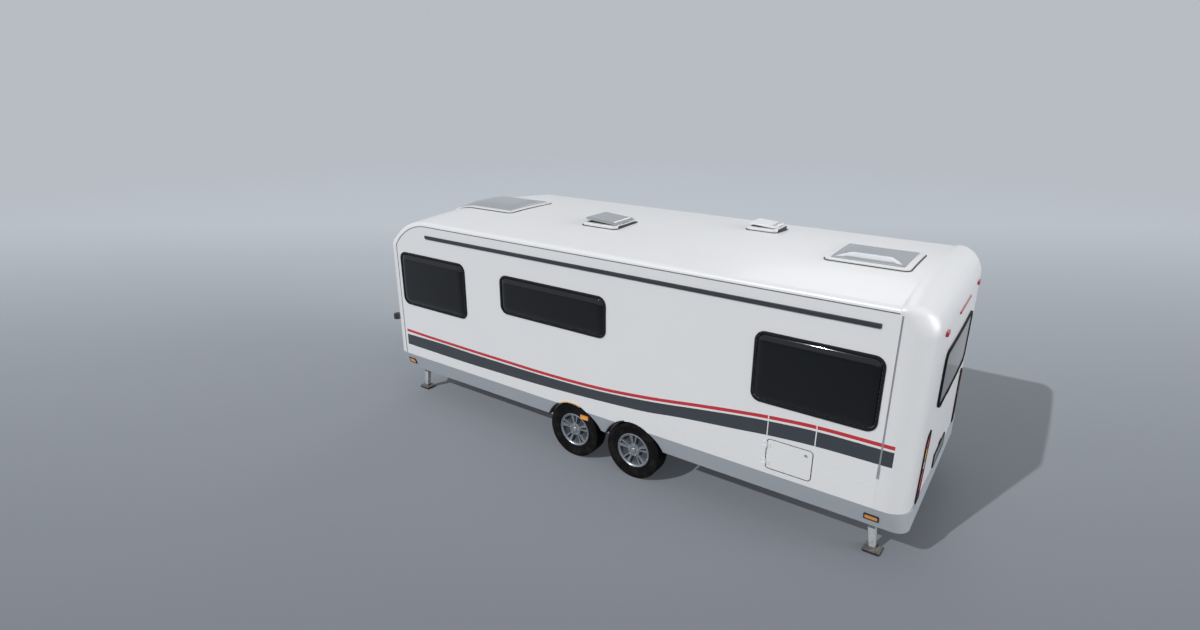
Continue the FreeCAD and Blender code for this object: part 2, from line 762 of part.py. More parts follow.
def wheel_rim():
    """Alloy rim with five double spokes, its hub and the brake drum that turns with it."""
    def turned(radius, y_low, y_high):
        return cylinder(radius, V(0, y_low, 0), V(0, y_high, 0))
    barrel_low, barrel_high = tyre_inner_y + bead_margin / 2, tyre_outer_y - bead_margin / 2
    barrel = turned(rim_radius - pin_gap, barrel_low, barrel_high)
    barrel = barrel.cut(turned(rim_radius - rim_wall, barrel_low, barrel_high))
    disc_low = hub_face_y - spoke_depth
    disc = turned(rim_radius - rim_wall + 1, disc_low, hub_face_y)
    for i in range(spoke_count):
        turn = 90 + i * 360 / spoke_count
        disc = disc.cut([
            sector(spoke_window_inner, rim_radius - spoke_window_margin, turn + 180 / spoke_count,
                   spoke_window_angle, disc_low - spoke_depth, hub_face_y + spoke_depth),
            sector(spoke_slot_inner, rim_radius - spoke_slot_margin, turn, spoke_slot_angle,
                   disc_low - spoke_depth, hub_face_y + spoke_depth),
        ])
    drum_high = drum_inner_y + drum_width
    solid = barrel.fuse([disc, turned(drum_radius, drum_inner_y, drum_high),
                         turned(hub_neck_radius, drum_high, disc_low)])
    solid = solid.cut(turned(stub_radius + pin_gap, drum_inner_y, hub_face_y - stub_end + 2))
    return solid.fuse(turned(hub_cap_radius, hub_face_y, hub_face_y + hub_cap_height))


tyre_shape, rim_shape = wheel_tyre(), wheel_rim()
for end, x in wheel_xs.items():
    save(end + "_axle", axle(x))
    for side in ("left", "right"):
        for name, shape in (("tyre", tyre_shape), ("rim", rim_shape)):
            placed = shape.translated(V(x, 0, wheel_radius))
            save(f"{end}_{side}_{name}", placed if side == "left" else mirror(placed))

# ---- windows: black frames and bulging panes ---------------------------------------------------


def side_window(place):
    """Frame and pane of a side opening, on the left wall's outer face."""
    def plate(margin, low, high):
        return side_slab(place, window_corner, margin, body_half_width + low, body_half_width + high)
    frame = plate(0, 0, frame_proud).cut(plate(frame_band, -frame_proud, 2 * frame_proud))
    return frame, plate(frame_band + seam, -pane_inner, pane_proud)


side_frames, side_panes = [], []
for side, *place in side_windows:
    frame, pane = side_window(place)
    side_frames.append(frame if side == "left" else mirror(frame))
    side_panes.append(pane if side == "left" else mirror(pane))
end_frames, end_panes = [], []
for end, skin, wall, x in (("front", front_skin, front_wall, front_end_x),
                           ("rear", rear_skin, rear_wall, rear_end_x)):
    outer, inner, pane_outline = [end_slab(end_windows[end], window_corner, margin, x - reach, x + reach)
                                  for margin in (0, frame_band, frame_band + seam)]
    frame = skin(end_frame_proud, end_frame_proud + end_frame_depth)
    end_frames.append(frame.common(outer.cut(inner)).cut(wall))
    end_panes.append(skin(end_pane_proud, end_pane_proud + pane_inner).common(pane_outline))
door_frame, door_pane = [mirror(shape) for shape in side_window(door_window)]
save("side_window_frames", *side_frames)
save("side_window_panes", *side_panes)
save("end_window_frames", *end_frames)
save("end_window_panes", *end_panes)
save("door_window_frame", door_frame)
save("door_window_pane", door_pane)

# ---- roof lights and vents -----------------------------------------------------------------------
light_frames, light_domes = [], []
for name in skylights:
    place = skylight_place(name)
    deep, tall = panel_top_z - reach, roof_top_z + reach
    raised = roof_skin(skylight_proud, skylight_proud)
    glass = roof_skin(skylight_proud + dome_rise, dome_thickness)
    if name == "front":
        raised = raised.fuse(front_skin(skylight_proud, skylight_proud))
        glass = glass.fuse(front_skin(skylight_proud + dome_rise, dome_thickness))
    outer = roof_slab(place, skylight_corner, 0, deep, tall)
    inner = roof_slab(place, skylight_corner, skylight_band, deep, tall)
    dome = roof_slab(place, skylight_corner, skylight_band + seam, deep, tall)
    light_frames.append(raised.common(outer.cut(inner)))
    light_domes.append(glass.common(dome))
save("skylight_frames", *light_frames)
save("skylight_domes", *light_domes)

vent_frames = []
roof_solid = roof_skin(0, shell_wall)
for name, place in vents.items():
    x0, x1, y, half = place
    top_z = roof_top_z + vent_proud
    frame = roof_slab(place, skylight_corner, 0, roof_top_z - shell_wall + 12, top_z)
    frame = frame.cut(roof_slab(place, skylight_corner, vent_band, panel_top_z, top_z + 1))
    rim_z = top_z + running_gap
    lid = roof_slab(place, skylight_corner, vent_lid_inset, rim_z, rim_z + vent_rim).fuse(roof_slab(
        place, skylight_corner, vent_pane_margin, rim_z, rim_z + vent_rim + vent_pane))
    pin = V(x0 + vent_lid_inset - vent_hinge_radius - 1, y, top_z + vent_hinge_radius + 1)
    for shift in (-half * 0.5, half * 0.5):
        fixed, moving = hinge(pin + Y * shift, -Z, -X, vent_hinge_radius + hinge_root, vent_hinge_tab,
                              vent_hinge_radius)
        frame, lid = frame.fuse(fixed), lid.fuse(moving)
    vent_frames.append(frame.cut(roof_solid))
    lid.rotate(pin, -Y, vent_tilt)
    save(name + "_vent_lid", lid)
save("vent_frames", *vent_frames)

# ---- steadies ------------------------------------------------------------------------------------


def level_outline(x, y, z, half_length, half_width):
    """A rectangle lying level, as a wire."""
    corners = [V(x - half_length, y - half_width, z), V(x + half_length, y - half_width, z),
               V(x + half_length, y + half_width, z), V(x - half_length, y + half_width, z)]
    return Part.makePolygon(corners + corners[:1])


def steady(pivot, pad_x):
    """A leg that tapers from its pivot head down to its pad."""
    half = steady_width / 2
    top_z = pivot.z - steady_top_drop
    leg = Part.makeLoft([
        level_outline(pivot.x, pivot.y, top_z, steady_top_half, half),
        level_outline(pad_x, pivot.y, pad_height - running_gap, steady_foot_half, steady_foot_half_width),
    ], True, True)
    head = cylinder(steady_head_radius, pivot - Y * half, pivot + Y * half)
    neck = box((pivot.x - steady_head_radius, pivot.y - half, top_z - 1),
               (pivot.x + steady_head_radius, pivot.y + half, pivot.z))
    pad = slab((pad_x - pad_length / 2, pivot.y - pad_width / 2, 0),
               (pad_x + pad_length / 2, pivot.y + pad_width / 2, pad_height), Z, pad_corner)
    bore = cylinder(steady_pin_radius + pin_gap, pivot - Y * steady_width, pivot + Y * steady_width)
    return leg.fuse([head, neck, pad]).cut(bore)


def steady_bracket(pivot):
    """Two cheeks hanging from a plate under the floor, with the pin between them."""
    x, y = pivot.x, pivot.y
    gap = steady_width / 2 + running_gap
    bracket = box((x - bracket_plate_half, y - gap - cheek_wall, floor_bottom_z - bracket_plate),
                  (x + bracket_plate_half, y + gap + cheek_wall, floor_bottom_z))
    for low in (y - gap - cheek_wall, y + gap):
        bracket = bracket.fuse(slab((x - cheek_half, low, pivot.z - cheek_drop),
                                    (x + cheek_half, low + cheek_wall, floor_bottom_z), Y, cheek_corner))
    pin_half = Y * (gap + cheek_wall / 2)
    return bracket.fuse(cylinder(steady_pin_radius, pivot - pin_half, pivot + pin_half))


steady_brackets = []
for end, pad_x, x in (("front", steady_front_x, steady_front_x - steady_lean),
                      ("rear", steady_rear_x, steady_rear_x + steady_lean)):
    for side, sign in (("left", 1), ("right", -1)):
        pivot = V(x, sign * steady_y, steady_pivot_z)
        save(f"{end}_{side}_steady", steady(pivot, pad_x))
        steady_brackets.append(steady_bracket(pivot))
save("steady_brackets", *steady_brackets)

# ---- jockey wheel ----------------------------------------------------------------------------------
crown_low = 2 * jockey_wheel_radius + jockey_crown_gap
crown_high = crown_low + jockey_crown_height
tube_low, tube_high = rail_bottom_z, rail_bottom_z + jockey_tube_length
at = V(jockey_x, 0, 0)


def upright(radius, low, high):
    """A round bar on the jockey wheel's swivel axis."""
    return Part.makeCylinder(radius, high - low, at + Z * low)


arm_slope = (rail_y - drawbar_tip_y) / (drawbar_tip_x - drawbar_rear_x)
arm_y = drawbar_tip_y + (drawbar_tip_x - jockey_x) * arm_slope
clamp_y = arm_y + jockey_clamp_lap
tube = upright(jockey_tube_radius, tube_low, tube_high).fuse([
    slab((jockey_x - jockey_clamp_half, -clamp_y, tube_low),
         (jockey_x + jockey_clamp_half, clamp_y, tube_low + jockey_clamp_height), Z, cheek_corner),
    upright(jockey_tube_radius + jockey_collar, tube_low, tube_low + jockey_collar_length),
    upright(jockey_tube_radius + jockey_cap, tube_high - 6, tube_high - 6 + jockey_cap_height),
])
tube = tube.cut(upright(jockey_stem_radius + pin_gap, tube_low, tube_high - 10))
crank_z = tube_high + crank_rise
knob = at + V(crank_reach - 6, 0, crank_z)
save("jockey_tube", tube.fuse(upright(crank_radius, tube_high + 8, crank_z + 13).fuse([
    cylinder(crank_radius, at + Z * crank_z, at + V(crank_reach, 0, crank_z)),
    cylinder(crank_knob_radius, knob, knob + Z * crank_knob_length),
])))
stem_low = crown_high + pin_gap
save("jockey_stem", upright(jockey_stem_radius, stem_low, stem_low + jockey_stem_length).fuse(
    upright(jockey_pivot_radius, crown_low + pin_gap, stem_low)))
fork_y = jockey_wheel_width / 2 + running_gap + 2
wheel_at = V(jockey_x - jockey_trail, 0, jockey_wheel_radius)
fork = upright(jockey_crown_radius, crown_low, crown_high).fuse(box(
    (wheel_at.x - fork_half_length, -fork_y - fork_wall, crown_low),
    (jockey_x, fork_y + fork_wall, crown_high)))
for low in (-fork_y - fork_wall, fork_y):
    fork = fork.fuse(box((wheel_at.x - fork_half_length, low, wheel_at.z - fork_drop),
                         (wheel_at.x + fork_half_length + 5, low + fork_wall, crown_high)))
fork = fork.cut(upright(jockey_pivot_radius + pin_gap, crown_low, crown_high + 50))
pin_half = Y * (fork_y + fork_wall - 2)
save("jockey_fork", fork.fuse(cylinder(jockey_pin_radius, wheel_at - pin_half, wheel_at + pin_half)))
tread_half = Y * (jockey_wheel_width / 2)
tread = cylinder(jockey_wheel_radius, wheel_at - tread_half, wheel_at + tread_half)
tread = tread.makeFillet(jockey_tread_round, [
    e for e in tread.Edges if abs(e.BoundBox.ZLength - 2 * jockey_wheel_radius) < 1])
save("jockey_wheel", tread.cut(cylinder(jockey_pin_radius + pin_gap, wheel_at - 2 * tread_half,
                                        wheel_at + 2 * tread_half)))

# ---- lamps, plate holder, rails and handles -----------------------------------------------------------


def on_rear(points, proud):
    """A plate of the given y, z outline that follows the rear wall's outer face."""
    outline = [V(rear_end_x - reach, y, z) for y, z in points]
    prism = Part.Face(Part.makePolygon(outline + outline[:1])).extrude(X * (2 * reach))
    return rear_skin(proud, proud).common(prism)


def rectangle(y, z, half_y, half_z):
    return [(y - half_y, z - half_z), (y + half_y, z - half_z), (y + half_y, z + half_z),
            (y - half_y, z + half_z)]


lamp = on_rear(rear_lamp_outline, rear_lamp_proud)
save("rear_lamps", lamp, mirror(lamp))
red_marker = on_rear(rectangle(*marker_place), marker_proud)
high_light = on_rear(rectangle(*high_light_place), marker_proud)
save("rear_marker_lights", red_marker, mirror(red_marker), high_light)
plate_pad = on_rear(rectangle(0, plate_middle_z, plate_half_width, plate_half_height), marker_proud)
plate_low = V(rear_end_x - plate_proud, -plate_half_width, plate_middle_z - plate_half_height)
plate_high = V(plate_low.x + plate_board, plate_half_width, plate_middle_z + plate_half_height)
save("number_plate_holder", plate_pad.fuse(box(plate_low, plate_high)))


def sill_lamp(x, z, half_x, half_z):
    """Amber side lamp lying on the left skirt's leaning face."""
    lean = skirt_inset / (skirt_top_z - skirt_bottom_z)
    low, high = [V(x - half_x, body_half_width - (skirt_top_z - level) * lean, level)
                 for level in (z - half_z, z + half_z)]
    proud = Y * side_lamp_proud
    outline = [low, high, high + proud, low + proud, low]
    return Part.Face(Part.makePolygon(outline)).extrude(X * (2 * half_x))


side_lamps = [sill_lamp(*side_lamp_front), sill_lamp(*side_lamp_rear)]
save("side_marker_lamps", *side_lamps, *[mirror(s) for s in side_lamps])

awning = slab((awning_length[0], body_half_width, awning_height[0]),
              (awning_length[1], body_half_width + awning_proud, awning_height[1]), X, awning_round)
save("awning_rails", awning, mirror(awning))


def grab_handle(foot, along, outward):
    """A bowed hand rail on two feet."""
    rise = outward * grab_rise
    return cylinder(grab_radius, foot + rise, foot + rise + along).fuse([
        cylinder(grab_radius, foot, foot + rise), Part.makeSphere(grab_radius, foot + rise),
        cylinder(grab_radius, foot + along, foot + along + rise),
        Part.makeSphere(grab_radius, foot + along + rise)])


front_handle = grab_handle(V(front_end_x - grab_root, grab_y, grab_bottom_z), Z * grab_length, X)
front_handle = front_handle.cut(front_skin(0, shell_wall))
save("grab_handles", front_handle, mirror(front_handle))
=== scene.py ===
"""Travel caravan on two axles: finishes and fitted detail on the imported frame."""
import math

import bmesh
import bpy
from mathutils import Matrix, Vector


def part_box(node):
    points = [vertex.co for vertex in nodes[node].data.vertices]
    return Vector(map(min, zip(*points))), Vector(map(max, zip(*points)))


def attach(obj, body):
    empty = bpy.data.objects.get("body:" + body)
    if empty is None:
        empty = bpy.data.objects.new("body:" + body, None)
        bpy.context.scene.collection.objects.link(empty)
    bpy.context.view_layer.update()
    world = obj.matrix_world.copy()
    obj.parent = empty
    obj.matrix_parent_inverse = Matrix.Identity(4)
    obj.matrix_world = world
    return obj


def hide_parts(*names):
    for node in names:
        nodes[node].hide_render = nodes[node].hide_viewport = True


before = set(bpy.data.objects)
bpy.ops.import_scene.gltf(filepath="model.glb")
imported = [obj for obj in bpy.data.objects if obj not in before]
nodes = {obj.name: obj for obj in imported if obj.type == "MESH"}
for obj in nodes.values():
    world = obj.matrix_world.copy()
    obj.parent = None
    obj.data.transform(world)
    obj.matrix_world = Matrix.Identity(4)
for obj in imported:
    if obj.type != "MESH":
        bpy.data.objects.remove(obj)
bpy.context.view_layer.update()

# ==== Chassis ==================================================================================
# Folded steel rails, cross members, drawbar and axle tubes, hot-dip galvanised after welding.
# The zinc sets in pale and dark flakes a few centimetres across and dulls to a soft grey.


def feed(tree, made, inputs):
    """Sets each named or numbered input of a node, with a link or a constant."""
    for key, value in inputs.items():
        if isinstance(value, bpy.types.NodeSocket):
            tree.links.new(value, made.inputs[key])
        else:
            made.inputs[key].default_value = value
    return made


def add(tree, kind, inputs=(), **settings):
    made = tree.nodes.new("ShaderNode" + kind)
    for name, value in settings.items():
        setattr(made, name, value)
    return feed(tree, made, dict(inputs))


def place_of(tree):
    return add(tree, "TexCoord").outputs["Object"]


def noise(tree, place, scale, detail, rough=0.5):
    made = add(tree, "TexNoise", {"Vector": place, "Scale": scale, "Detail": detail, "Roughness": rough})
    return made.outputs[0]


def maths(tree, how, first, second):
    return add(tree, "Math", {0: first, 1: second}, operation=how).outputs[0]


def mix(tree, share, first, second):
    """Blend of two colours, each a link or red, green and blue."""
    first, second = [(*each, 1) if isinstance(each, tuple) else each for each in (first, second)]
    return add(tree, "Mix", {0: share, 6: first, 7: second}, data_type="RGBA").outputs[2]


def ramp(tree, value, low, high, start=0.0, end=1.0):
    """Maps value from low..high to start..end, smoothly at both ends."""
    made = add(tree, "MapRange", {0: value, 1: low, 2: high, 3: start, 4: end}, interpolation_type="SMOOTHSTEP")
    return made.outputs[0]


def effect(name, **given):
    """An empty shared effect with one mask: its tree, its input sockets and its end."""
    tree = bpy.data.node_groups.new(name, "ShaderNodeTree")
    for label, value in given.items():
        socket = tree.interface.new_socket(label, in_out="INPUT", socket_type="NodeSocketFloat")
        socket.default_value = value
    tree.interface.new_socket("Mask", in_out="OUTPUT", socket_type="NodeSocketFloat")
    return tree, tree.nodes.new("NodeGroupInput").outputs, tree.nodes.new("NodeGroupOutput").inputs[0]


def use(tree, group, **inputs):
    """The mask of a shared effect placed in a material."""
    made = tree.nodes.new("ShaderNodeGroup")
    made.node_tree = group
    return feed(tree, made, inputs).outputs[0]


def make_road_film():
    """Dust thrown up from the road: thick near the ground, thinner and patchy above."""
    tree, (top, base, *_), end = effect("road_film", Top=0.9, Base=0.1)
    place = place_of(tree)
    height = add(tree, "SeparateXYZ", {0: place}).outputs[2]
    fade = ramp(tree, height, top, 0.05)
    broken = maths(tree, "MULTIPLY", noise(tree, place, 3.1, 6.0, 0.62), noise(tree, place, 58.0, 3.0))
    level = maths(tree, "MAXIMUM", fade, base)
    tree.links.new(maths(tree, "MULTIPLY", level, ramp(tree, broken, 0.12, 0.42)), end)
    return tree


def make_worn_edges():
    """Where a hand, a stone or a shoe rubs: 1 on sharp edges, broken up by noise."""
    tree, (reach, *_), end = effect("worn_edges", Reach=0.004)
    round_normal = add(tree, "Bevel", {"Radius": reach}, samples=4).outputs[0]
    true_normal = add(tree, "NewGeometry").outputs["Normal"]
    likeness = add(tree, "VectorMath", {0: round_normal, 1: true_normal}, operation="DOT_PRODUCT").outputs["Value"]
    breaks = ramp(tree, noise(tree, place_of(tree), 34.0, 5.0), 0.42, 0.62)
    tree.links.new(maths(tree, "MULTIPLY", ramp(tree, likeness, 0.97, 0.80), breaks), end)
    return tree


def finish_of(name, **constants):
    """A new material with constants set straight on its shader, and its object coordinates."""
    material = bpy.data.materials.new(name)
    material.use_nodes = True
    tree = material.node_tree
    shader = tree.nodes["Principled BSDF"]
    for key, value in constants.items():
        shader.inputs[key.replace("_", " ")].default_value = value
    return material, tree, shader, place_of(tree)


def surface(tree, shader, colour, rough=None, relief=None, strength=0.0, distance=0.0):
    """Connects a finish's colour, its roughness where that varies, and a height as relief."""
    tree.links.new(colour, shader.inputs["Base Color"])
    if rough:
        tree.links.new(rough, shader.inputs["Roughness"])
    if relief:
        made = add(tree, "Bump", {"Height": relief, "Strength": strength, "Distance": distance})
        tree.links.new(made.outputs[0], shader.inputs["Normal"])


road_film = make_road_film()
worn_edges = make_worn_edges()


def galvanised():
    material, tree, shader, place = finish_of("hot_dip_zinc", Metallic=0.55)
    flakes = add(tree, "TexVoronoi", {"Vector": place, "Scale": 46.0, "Randomness": 1.0})
    flake = add(tree, "SeparateColor", {0: flakes.outputs["Color"]}).outputs[0]
    runs = noise(tree, place, 5.0, 7.0, 0.6)
    zinc = mix(tree, flake, (0.40, 0.42, 0.44), (0.58, 0.60, 0.62))
    zinc = mix(tree, ramp(tree, runs, 0.45, 0.75, 0.0, 0.45), zinc, (0.66, 0.67, 0.66))
    dust = use(tree, road_film, Top=0.75, Base=0.12)
    rough = maths(tree, "ADD", ramp(tree, flake, 0.0, 1.0, 0.34, 0.52), dust)
    surface(tree, shader, mix(tree, dust, zinc, (0.30, 0.27, 0.23)), rough, runs, 0.25, 0.002)
    return material


def dress(names, material):
    """Gives CAD nodes their finish."""
    for name in names:
        mesh = nodes[name].data
        mesh.materials.clear()
        mesh.materials.append(material)


zinc = galvanised()
dress(["chassis_rails", "cross_members", "drawbar", "front_axle", "rear_axle", "steady_brackets",
       "jockey_tube", "jockey_stem", "jockey_fork"], zinc)

# ==== Coupling =================================================================================
# Cast ball coupling and handbrake lever in black enamel, bolted to the drawbar's nose.
# The enamel is chipped to bare iron along its edges, and road dust settles on it.


def enamel():
    material, tree, shader, place = finish_of("black_enamel")
    skin, broad = noise(tree, place, 210.0, 3.0), noise(tree, place, 9.0, 4.0)
    chips = use(tree, worn_edges, Reach=0.003)
    paint = mix(tree, chips, mix(tree, broad, (0.012, 0.012, 0.014), (0.035, 0.036, 0.040)), (0.30, 0.29, 0.28))
    dust = use(tree, road_film, Top=0.7, Base=0.10)
    surface(tree, shader, mix(tree, dust, paint, (0.20, 0.18, 0.15)), ramp(tree, broad, 0.3, 0.7, 0.30, 0.46),
            skin, 0.35, 0.001)
    tree.links.new(chips, shader.inputs["Metallic"])
    return material


dress(["coupling_head", "handbrake_lever"], enamel())

# ==== Wheels ===================================================================================
# Radial trailer tyres on five-spoke cast alloy rims, painted silver, held by five bolts each.
# The tyres are moulded rubber with four grooves, and each rim has a rolled lip.

hub_z = 0.325
tyre_y, tyre_half, tyre_radius = 1.119, 0.091, 0.325
rim_radius, rim_depth, rim_face_y = 0.199, 0.150, 1.196
grooves, groove_half, groove_depth = (-0.056, -0.019, 0.019, 0.056), 0.005, 0.008


def deselect():
    if bpy.context.object and bpy.context.object.mode != "OBJECT":
        bpy.ops.object.mode_set(mode="OBJECT")
    bpy.ops.object.select_all(action="DESELECT")


def begin(name):
    """Names the primitive just added, fixes its place and size, and opens it for shaping."""
    piece = bpy.context.object
    piece.name = piece.data.name = name
    bpy.ops.object.transform_apply(location=True, rotation=True, scale=True)
    bpy.ops.object.mode_set(mode="EDIT")
    return piece


def block(name, low, high):
    deselect()
    low, high = Vector(low), Vector(high)
    bpy.ops.mesh.primitive_cube_add(size=1, location=(low + high) / 2)
    bpy.context.object.scale = high - low
    return begin(name)


def drum(name, centre, radius, length, sides):
    """A cylinder lying across the caravan, open for shaping."""
    deselect()
    bpy.ops.mesh.primitive_cylinder_add(vertices=sides, radius=radius, depth=length, location=centre,
                                        rotation=(math.pi / 2, 0, 0))
    return begin(name)


WAYS = {"X": Vector((1, 0, 0)), "Y": Vector((0, 1, 0)), "Z": Vector((0, 0, 1))}


def pick(piece, kind, test):
    """Selects the open mesh's vertices, edges or faces that pass a test."""
    bpy.ops.mesh.select_mode(type=kind)
    bpy.ops.mesh.select_all(action="DESELECT")
    mesh = bmesh.from_edit_mesh(piece.data)
    parts = {"VERT": mesh.verts, "EDGE": mesh.edges, "FACE": mesh.faces}[kind]
    for part in parts:
        if test(part):
            part.select_set(True)
    mesh.select_flush_mode()
    bmesh.update_edit_mesh(piece.data)


def pull(step):
    bpy.ops.mesh.extrude_region_move(TRANSFORM_OT_translate={"value": step})


def facing(way):
    way = Vector(way)
    return lambda face: face.normal.dot(way) > 0.9


def lying_along(axis):
    def test(edge):
        run = edge.verts[1].co - edge.verts[0].co
        return run.length > 0 and abs(run.normalized().dot(WAYS[axis])) > 0.99
    return test


def soften(piece, axis, radius, segments=4):
    """Rounds the open block's corners that run along an axis."""
    pick(piece, "EDGE", lying_along(axis))
    bpy.ops.mesh.bevel(offset=radius, segments=segments, affect="EDGES")


def press(piece, way, *steps):
    """Sets the faces looking one way in or out, in steps of width and depth."""
    pick(piece, "FACE", facing(way))
    for width, depth in steps:
        bpy.ops.mesh.inset(thickness=width, depth=depth)


def plate(name, low, high, axis, corner, segments, way, *steps):
    """A block with round corners along an axis, and one side pressed in steps."""
    piece = block(name, low, high)
    soften(piece, axis, corner, segments)
    press(piece, way, *steps)
    return piece


def resize(factors, centre):
    bpy.ops.transform.resize(value=factors, center_override=centre)


def turn(angle, axis, centre):
    """Turns the selection by the right-hand rule; the rotate operator counts the other way."""
    bpy.ops.transform.rotate(value=-angle, orient_axis=axis, center_override=centre)


def cut(place, axis):
    """Cuts all of the open mesh across an axis at one place."""
    way = WAYS[axis]
    bpy.ops.mesh.select_all(action="SELECT")
    bpy.ops.mesh.bisect(plane_co=way * place, plane_no=way)


def joined(name, parts):
    deselect()
    for part in parts:
        part.select_set(True)
    bpy.context.view_layer.objects.active = parts[0]
    bpy.ops.object.join()
    parts[0].name = parts[0].data.name = name
    return parts[0]


def close(piece, material, sharp=35.0, edge=0.0, rounds=2):
    """Ends the shaping: rounds the edges, smooths, and gives the finish."""
    bpy.ops.mesh.select_all(action="SELECT")
    bpy.ops.mesh.remove_doubles(threshold=0.00005)
    bpy.ops.mesh.normals_make_consistent(inside=False)
    bpy.ops.object.mode_set(mode="OBJECT")
    if edge:
        tool = piece.modifiers.new("edges", "BEVEL")
        tool.width, tool.segments, tool.limit_method = edge, rounds, "ANGLE"
        tool.angle_limit = math.radians(sharp)
        bpy.ops.object.modifier_apply(modifier=tool.name)
    bpy.ops.object.shade_smooth_by_angle(angle=math.radians(sharp))
    if not piece.data.materials:
        piece.data.materials.append(material)
    return piece


def fit(piece, body="root", slot="black_trim", *stands_for):
    """Fixes a finished piece to the body it moves with."""
    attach(piece, body)
    if stands_for:
        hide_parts(*stands_for)


def another(piece, name, shift=(0, 0, 0), flipped=False):
    """A copy with its own mesh, flipped to the other side of the caravan if wanted, then moved."""
    deselect()
    made = piece.copy()
    made.data = piece.data.copy()
    bpy.context.collection.objects.link(made)
    made.name = made.data.name = name
    made.select_set(True)
    bpy.context.view_layer.objects.active = made
    made.location = shift
    if flipped:
        made.scale.y = -1
    bpy.ops.object.transform_apply(location=True, rotation=True, scale=True)
    if flipped:
        bpy.ops.object.mode_set(mode="EDIT")
        bpy.ops.mesh.select_all(action="SELECT")
        bpy.ops.mesh.flip_normals()
        bpy.ops.object.mode_set(mode="OBJECT")
    return made


def soft_black(name, low, high, rough, grain):
    """Moulded black rubber or plastic with a fine sand grain."""
    material, tree, shader, place = finish_of(name, Specular_IOR_Level=0.25)
    sand, broad = noise(tree, place, grain, 2.0), noise(tree, place, 7.0, 5.0)
    dust = maths(tree, "MULTIPLY", use(tree, road_film, Top=0.8, Base=0.02), 0.5)
    shade = mix(tree, dust, mix(tree, broad, low, high), (0.12, 0.11, 0.10))
    surface(tree, shader, shade, ramp(tree, sand, 0.3, 0.7, rough - 0.06, rough + 0.08), sand, 0.30, 0.0006)
    return material


grip_black = soft_black("grip_rubber", (0.014, 0.014, 0.015), (0.030, 0.030, 0.031), 0.62, 420.0)


def tyre_rubber():
    material, tree, shader, place = finish_of("tyre_rubber", Specular_IOR_Level=0.08)
    fine, broad = noise(tree, place, 160.0, 4.0), noise(tree, place, 11.0, 5.0)
    rubber = mix(tree, broad, (0.0020, 0.0020, 0.0024), (0.0055, 0.0055, 0.0065))
    dusty = mix(tree, ramp(tree, broad, 0.42, 0.72, 0.10, 0.50), rubber, (0.022, 0.021, 0.020))
    surface(tree, shader, dusty, ramp(tree, fine, 0.3, 0.7, 0.58, 0.80), fine, 0.35, 0.001)
    return material


def silver_paint():
    material, tree, shader, place = finish_of("wheel_silver", Metallic=0.45, Coat_Weight=0.3,
                                              Coat_Roughness=0.08)
    flake = add(tree, "TexVoronoi", {"Vector": place, "Scale": 900.0}).outputs["Color"]
    flake = add(tree, "SeparateColor", {0: flake}).outputs[0]
    brake = noise(tree, place, 14.0, 6.0)
    paint = mix(tree, flake, (0.19, 0.21, 0.235), (0.31, 0.335, 0.37))
    paint = mix(tree, ramp(tree, brake, 0.50, 0.78, 0.0, 0.45), paint, (0.10, 0.10, 0.10))
    surface(tree, shader, paint, ramp(tree, brake, 0.35, 0.75, 0.26, 0.44), flake, 0.06, 0.0004)
    return material


def bolt_chrome():
    material, tree, shader, place = finish_of("bolt_chrome", Metallic=0.9)
    smear = noise(tree, place, 70.0, 4.0)
    surface(tree, shader, mix(tree, smear, (0.50, 0.51, 0.52), (0.72, 0.72, 0.72)),
            ramp(tree, smear, 0.3, 0.7, 0.16, 0.34))
    return material


def tyre(name, x, material):
    """A left tyre with grooves, shoulders and ribbed sidewalls."""
    centre = Vector((x, tyre_y, hub_z))
    piece = drum(name, centre, tyre_radius, 2 * tyre_half, 96)
    for groove in grooves:
        for side in (-groove_half, groove_half):
            cut(tyre_y + groove + side, "Y")
    pick(piece, "FACE", lambda f: abs(f.normal.y) < 0.5 and any(
        abs(f.calc_center_median().y - tyre_y - groove) < 0.8 * groove_half for groove in grooves))
    bpy.ops.mesh.inset(thickness=0.0006, depth=-groove_depth)
    for way in (1, -1):
        pick(piece, "FACE", lambda f: (f.calc_center_median().y - tyre_y) * way > tyre_half - 0.001)
        ring = centre + Vector((0, way * tyre_half, 0))
        radius = tyre_radius
        for size, rise in ((0.318, 0.0), (0.305, 0.003), (0.285, 0.0), (0.281, 0.0015), (0.277, -0.0015),
                           (0.262, -0.001), (0.240, -0.004), (0.222, -0.003), (0.218, 0.003), (0.210, 0.001),
                           (0.199, -0.012), (0.197, -0.020)):
            pull((0, way * rise, 0))
            resize([size / radius, 1, size / radius], ring)
            radius = size
        bpy.ops.mesh.delete(type="FACE")
    pick(piece, "EDGE", lambda e: abs(abs(e.verts[0].co.y - tyre_y) - tyre_half) < 1e-4
         and abs((e.verts[0].co - centre).xz.length - tyre_radius) < 1e-4
         and abs(e.verts[0].co.y - e.verts[1].co.y) < 1e-5)
    bpy.ops.mesh.bevel(offset=0.011, segments=4, affect="EDGES")
    return close(piece, material, sharp=40)


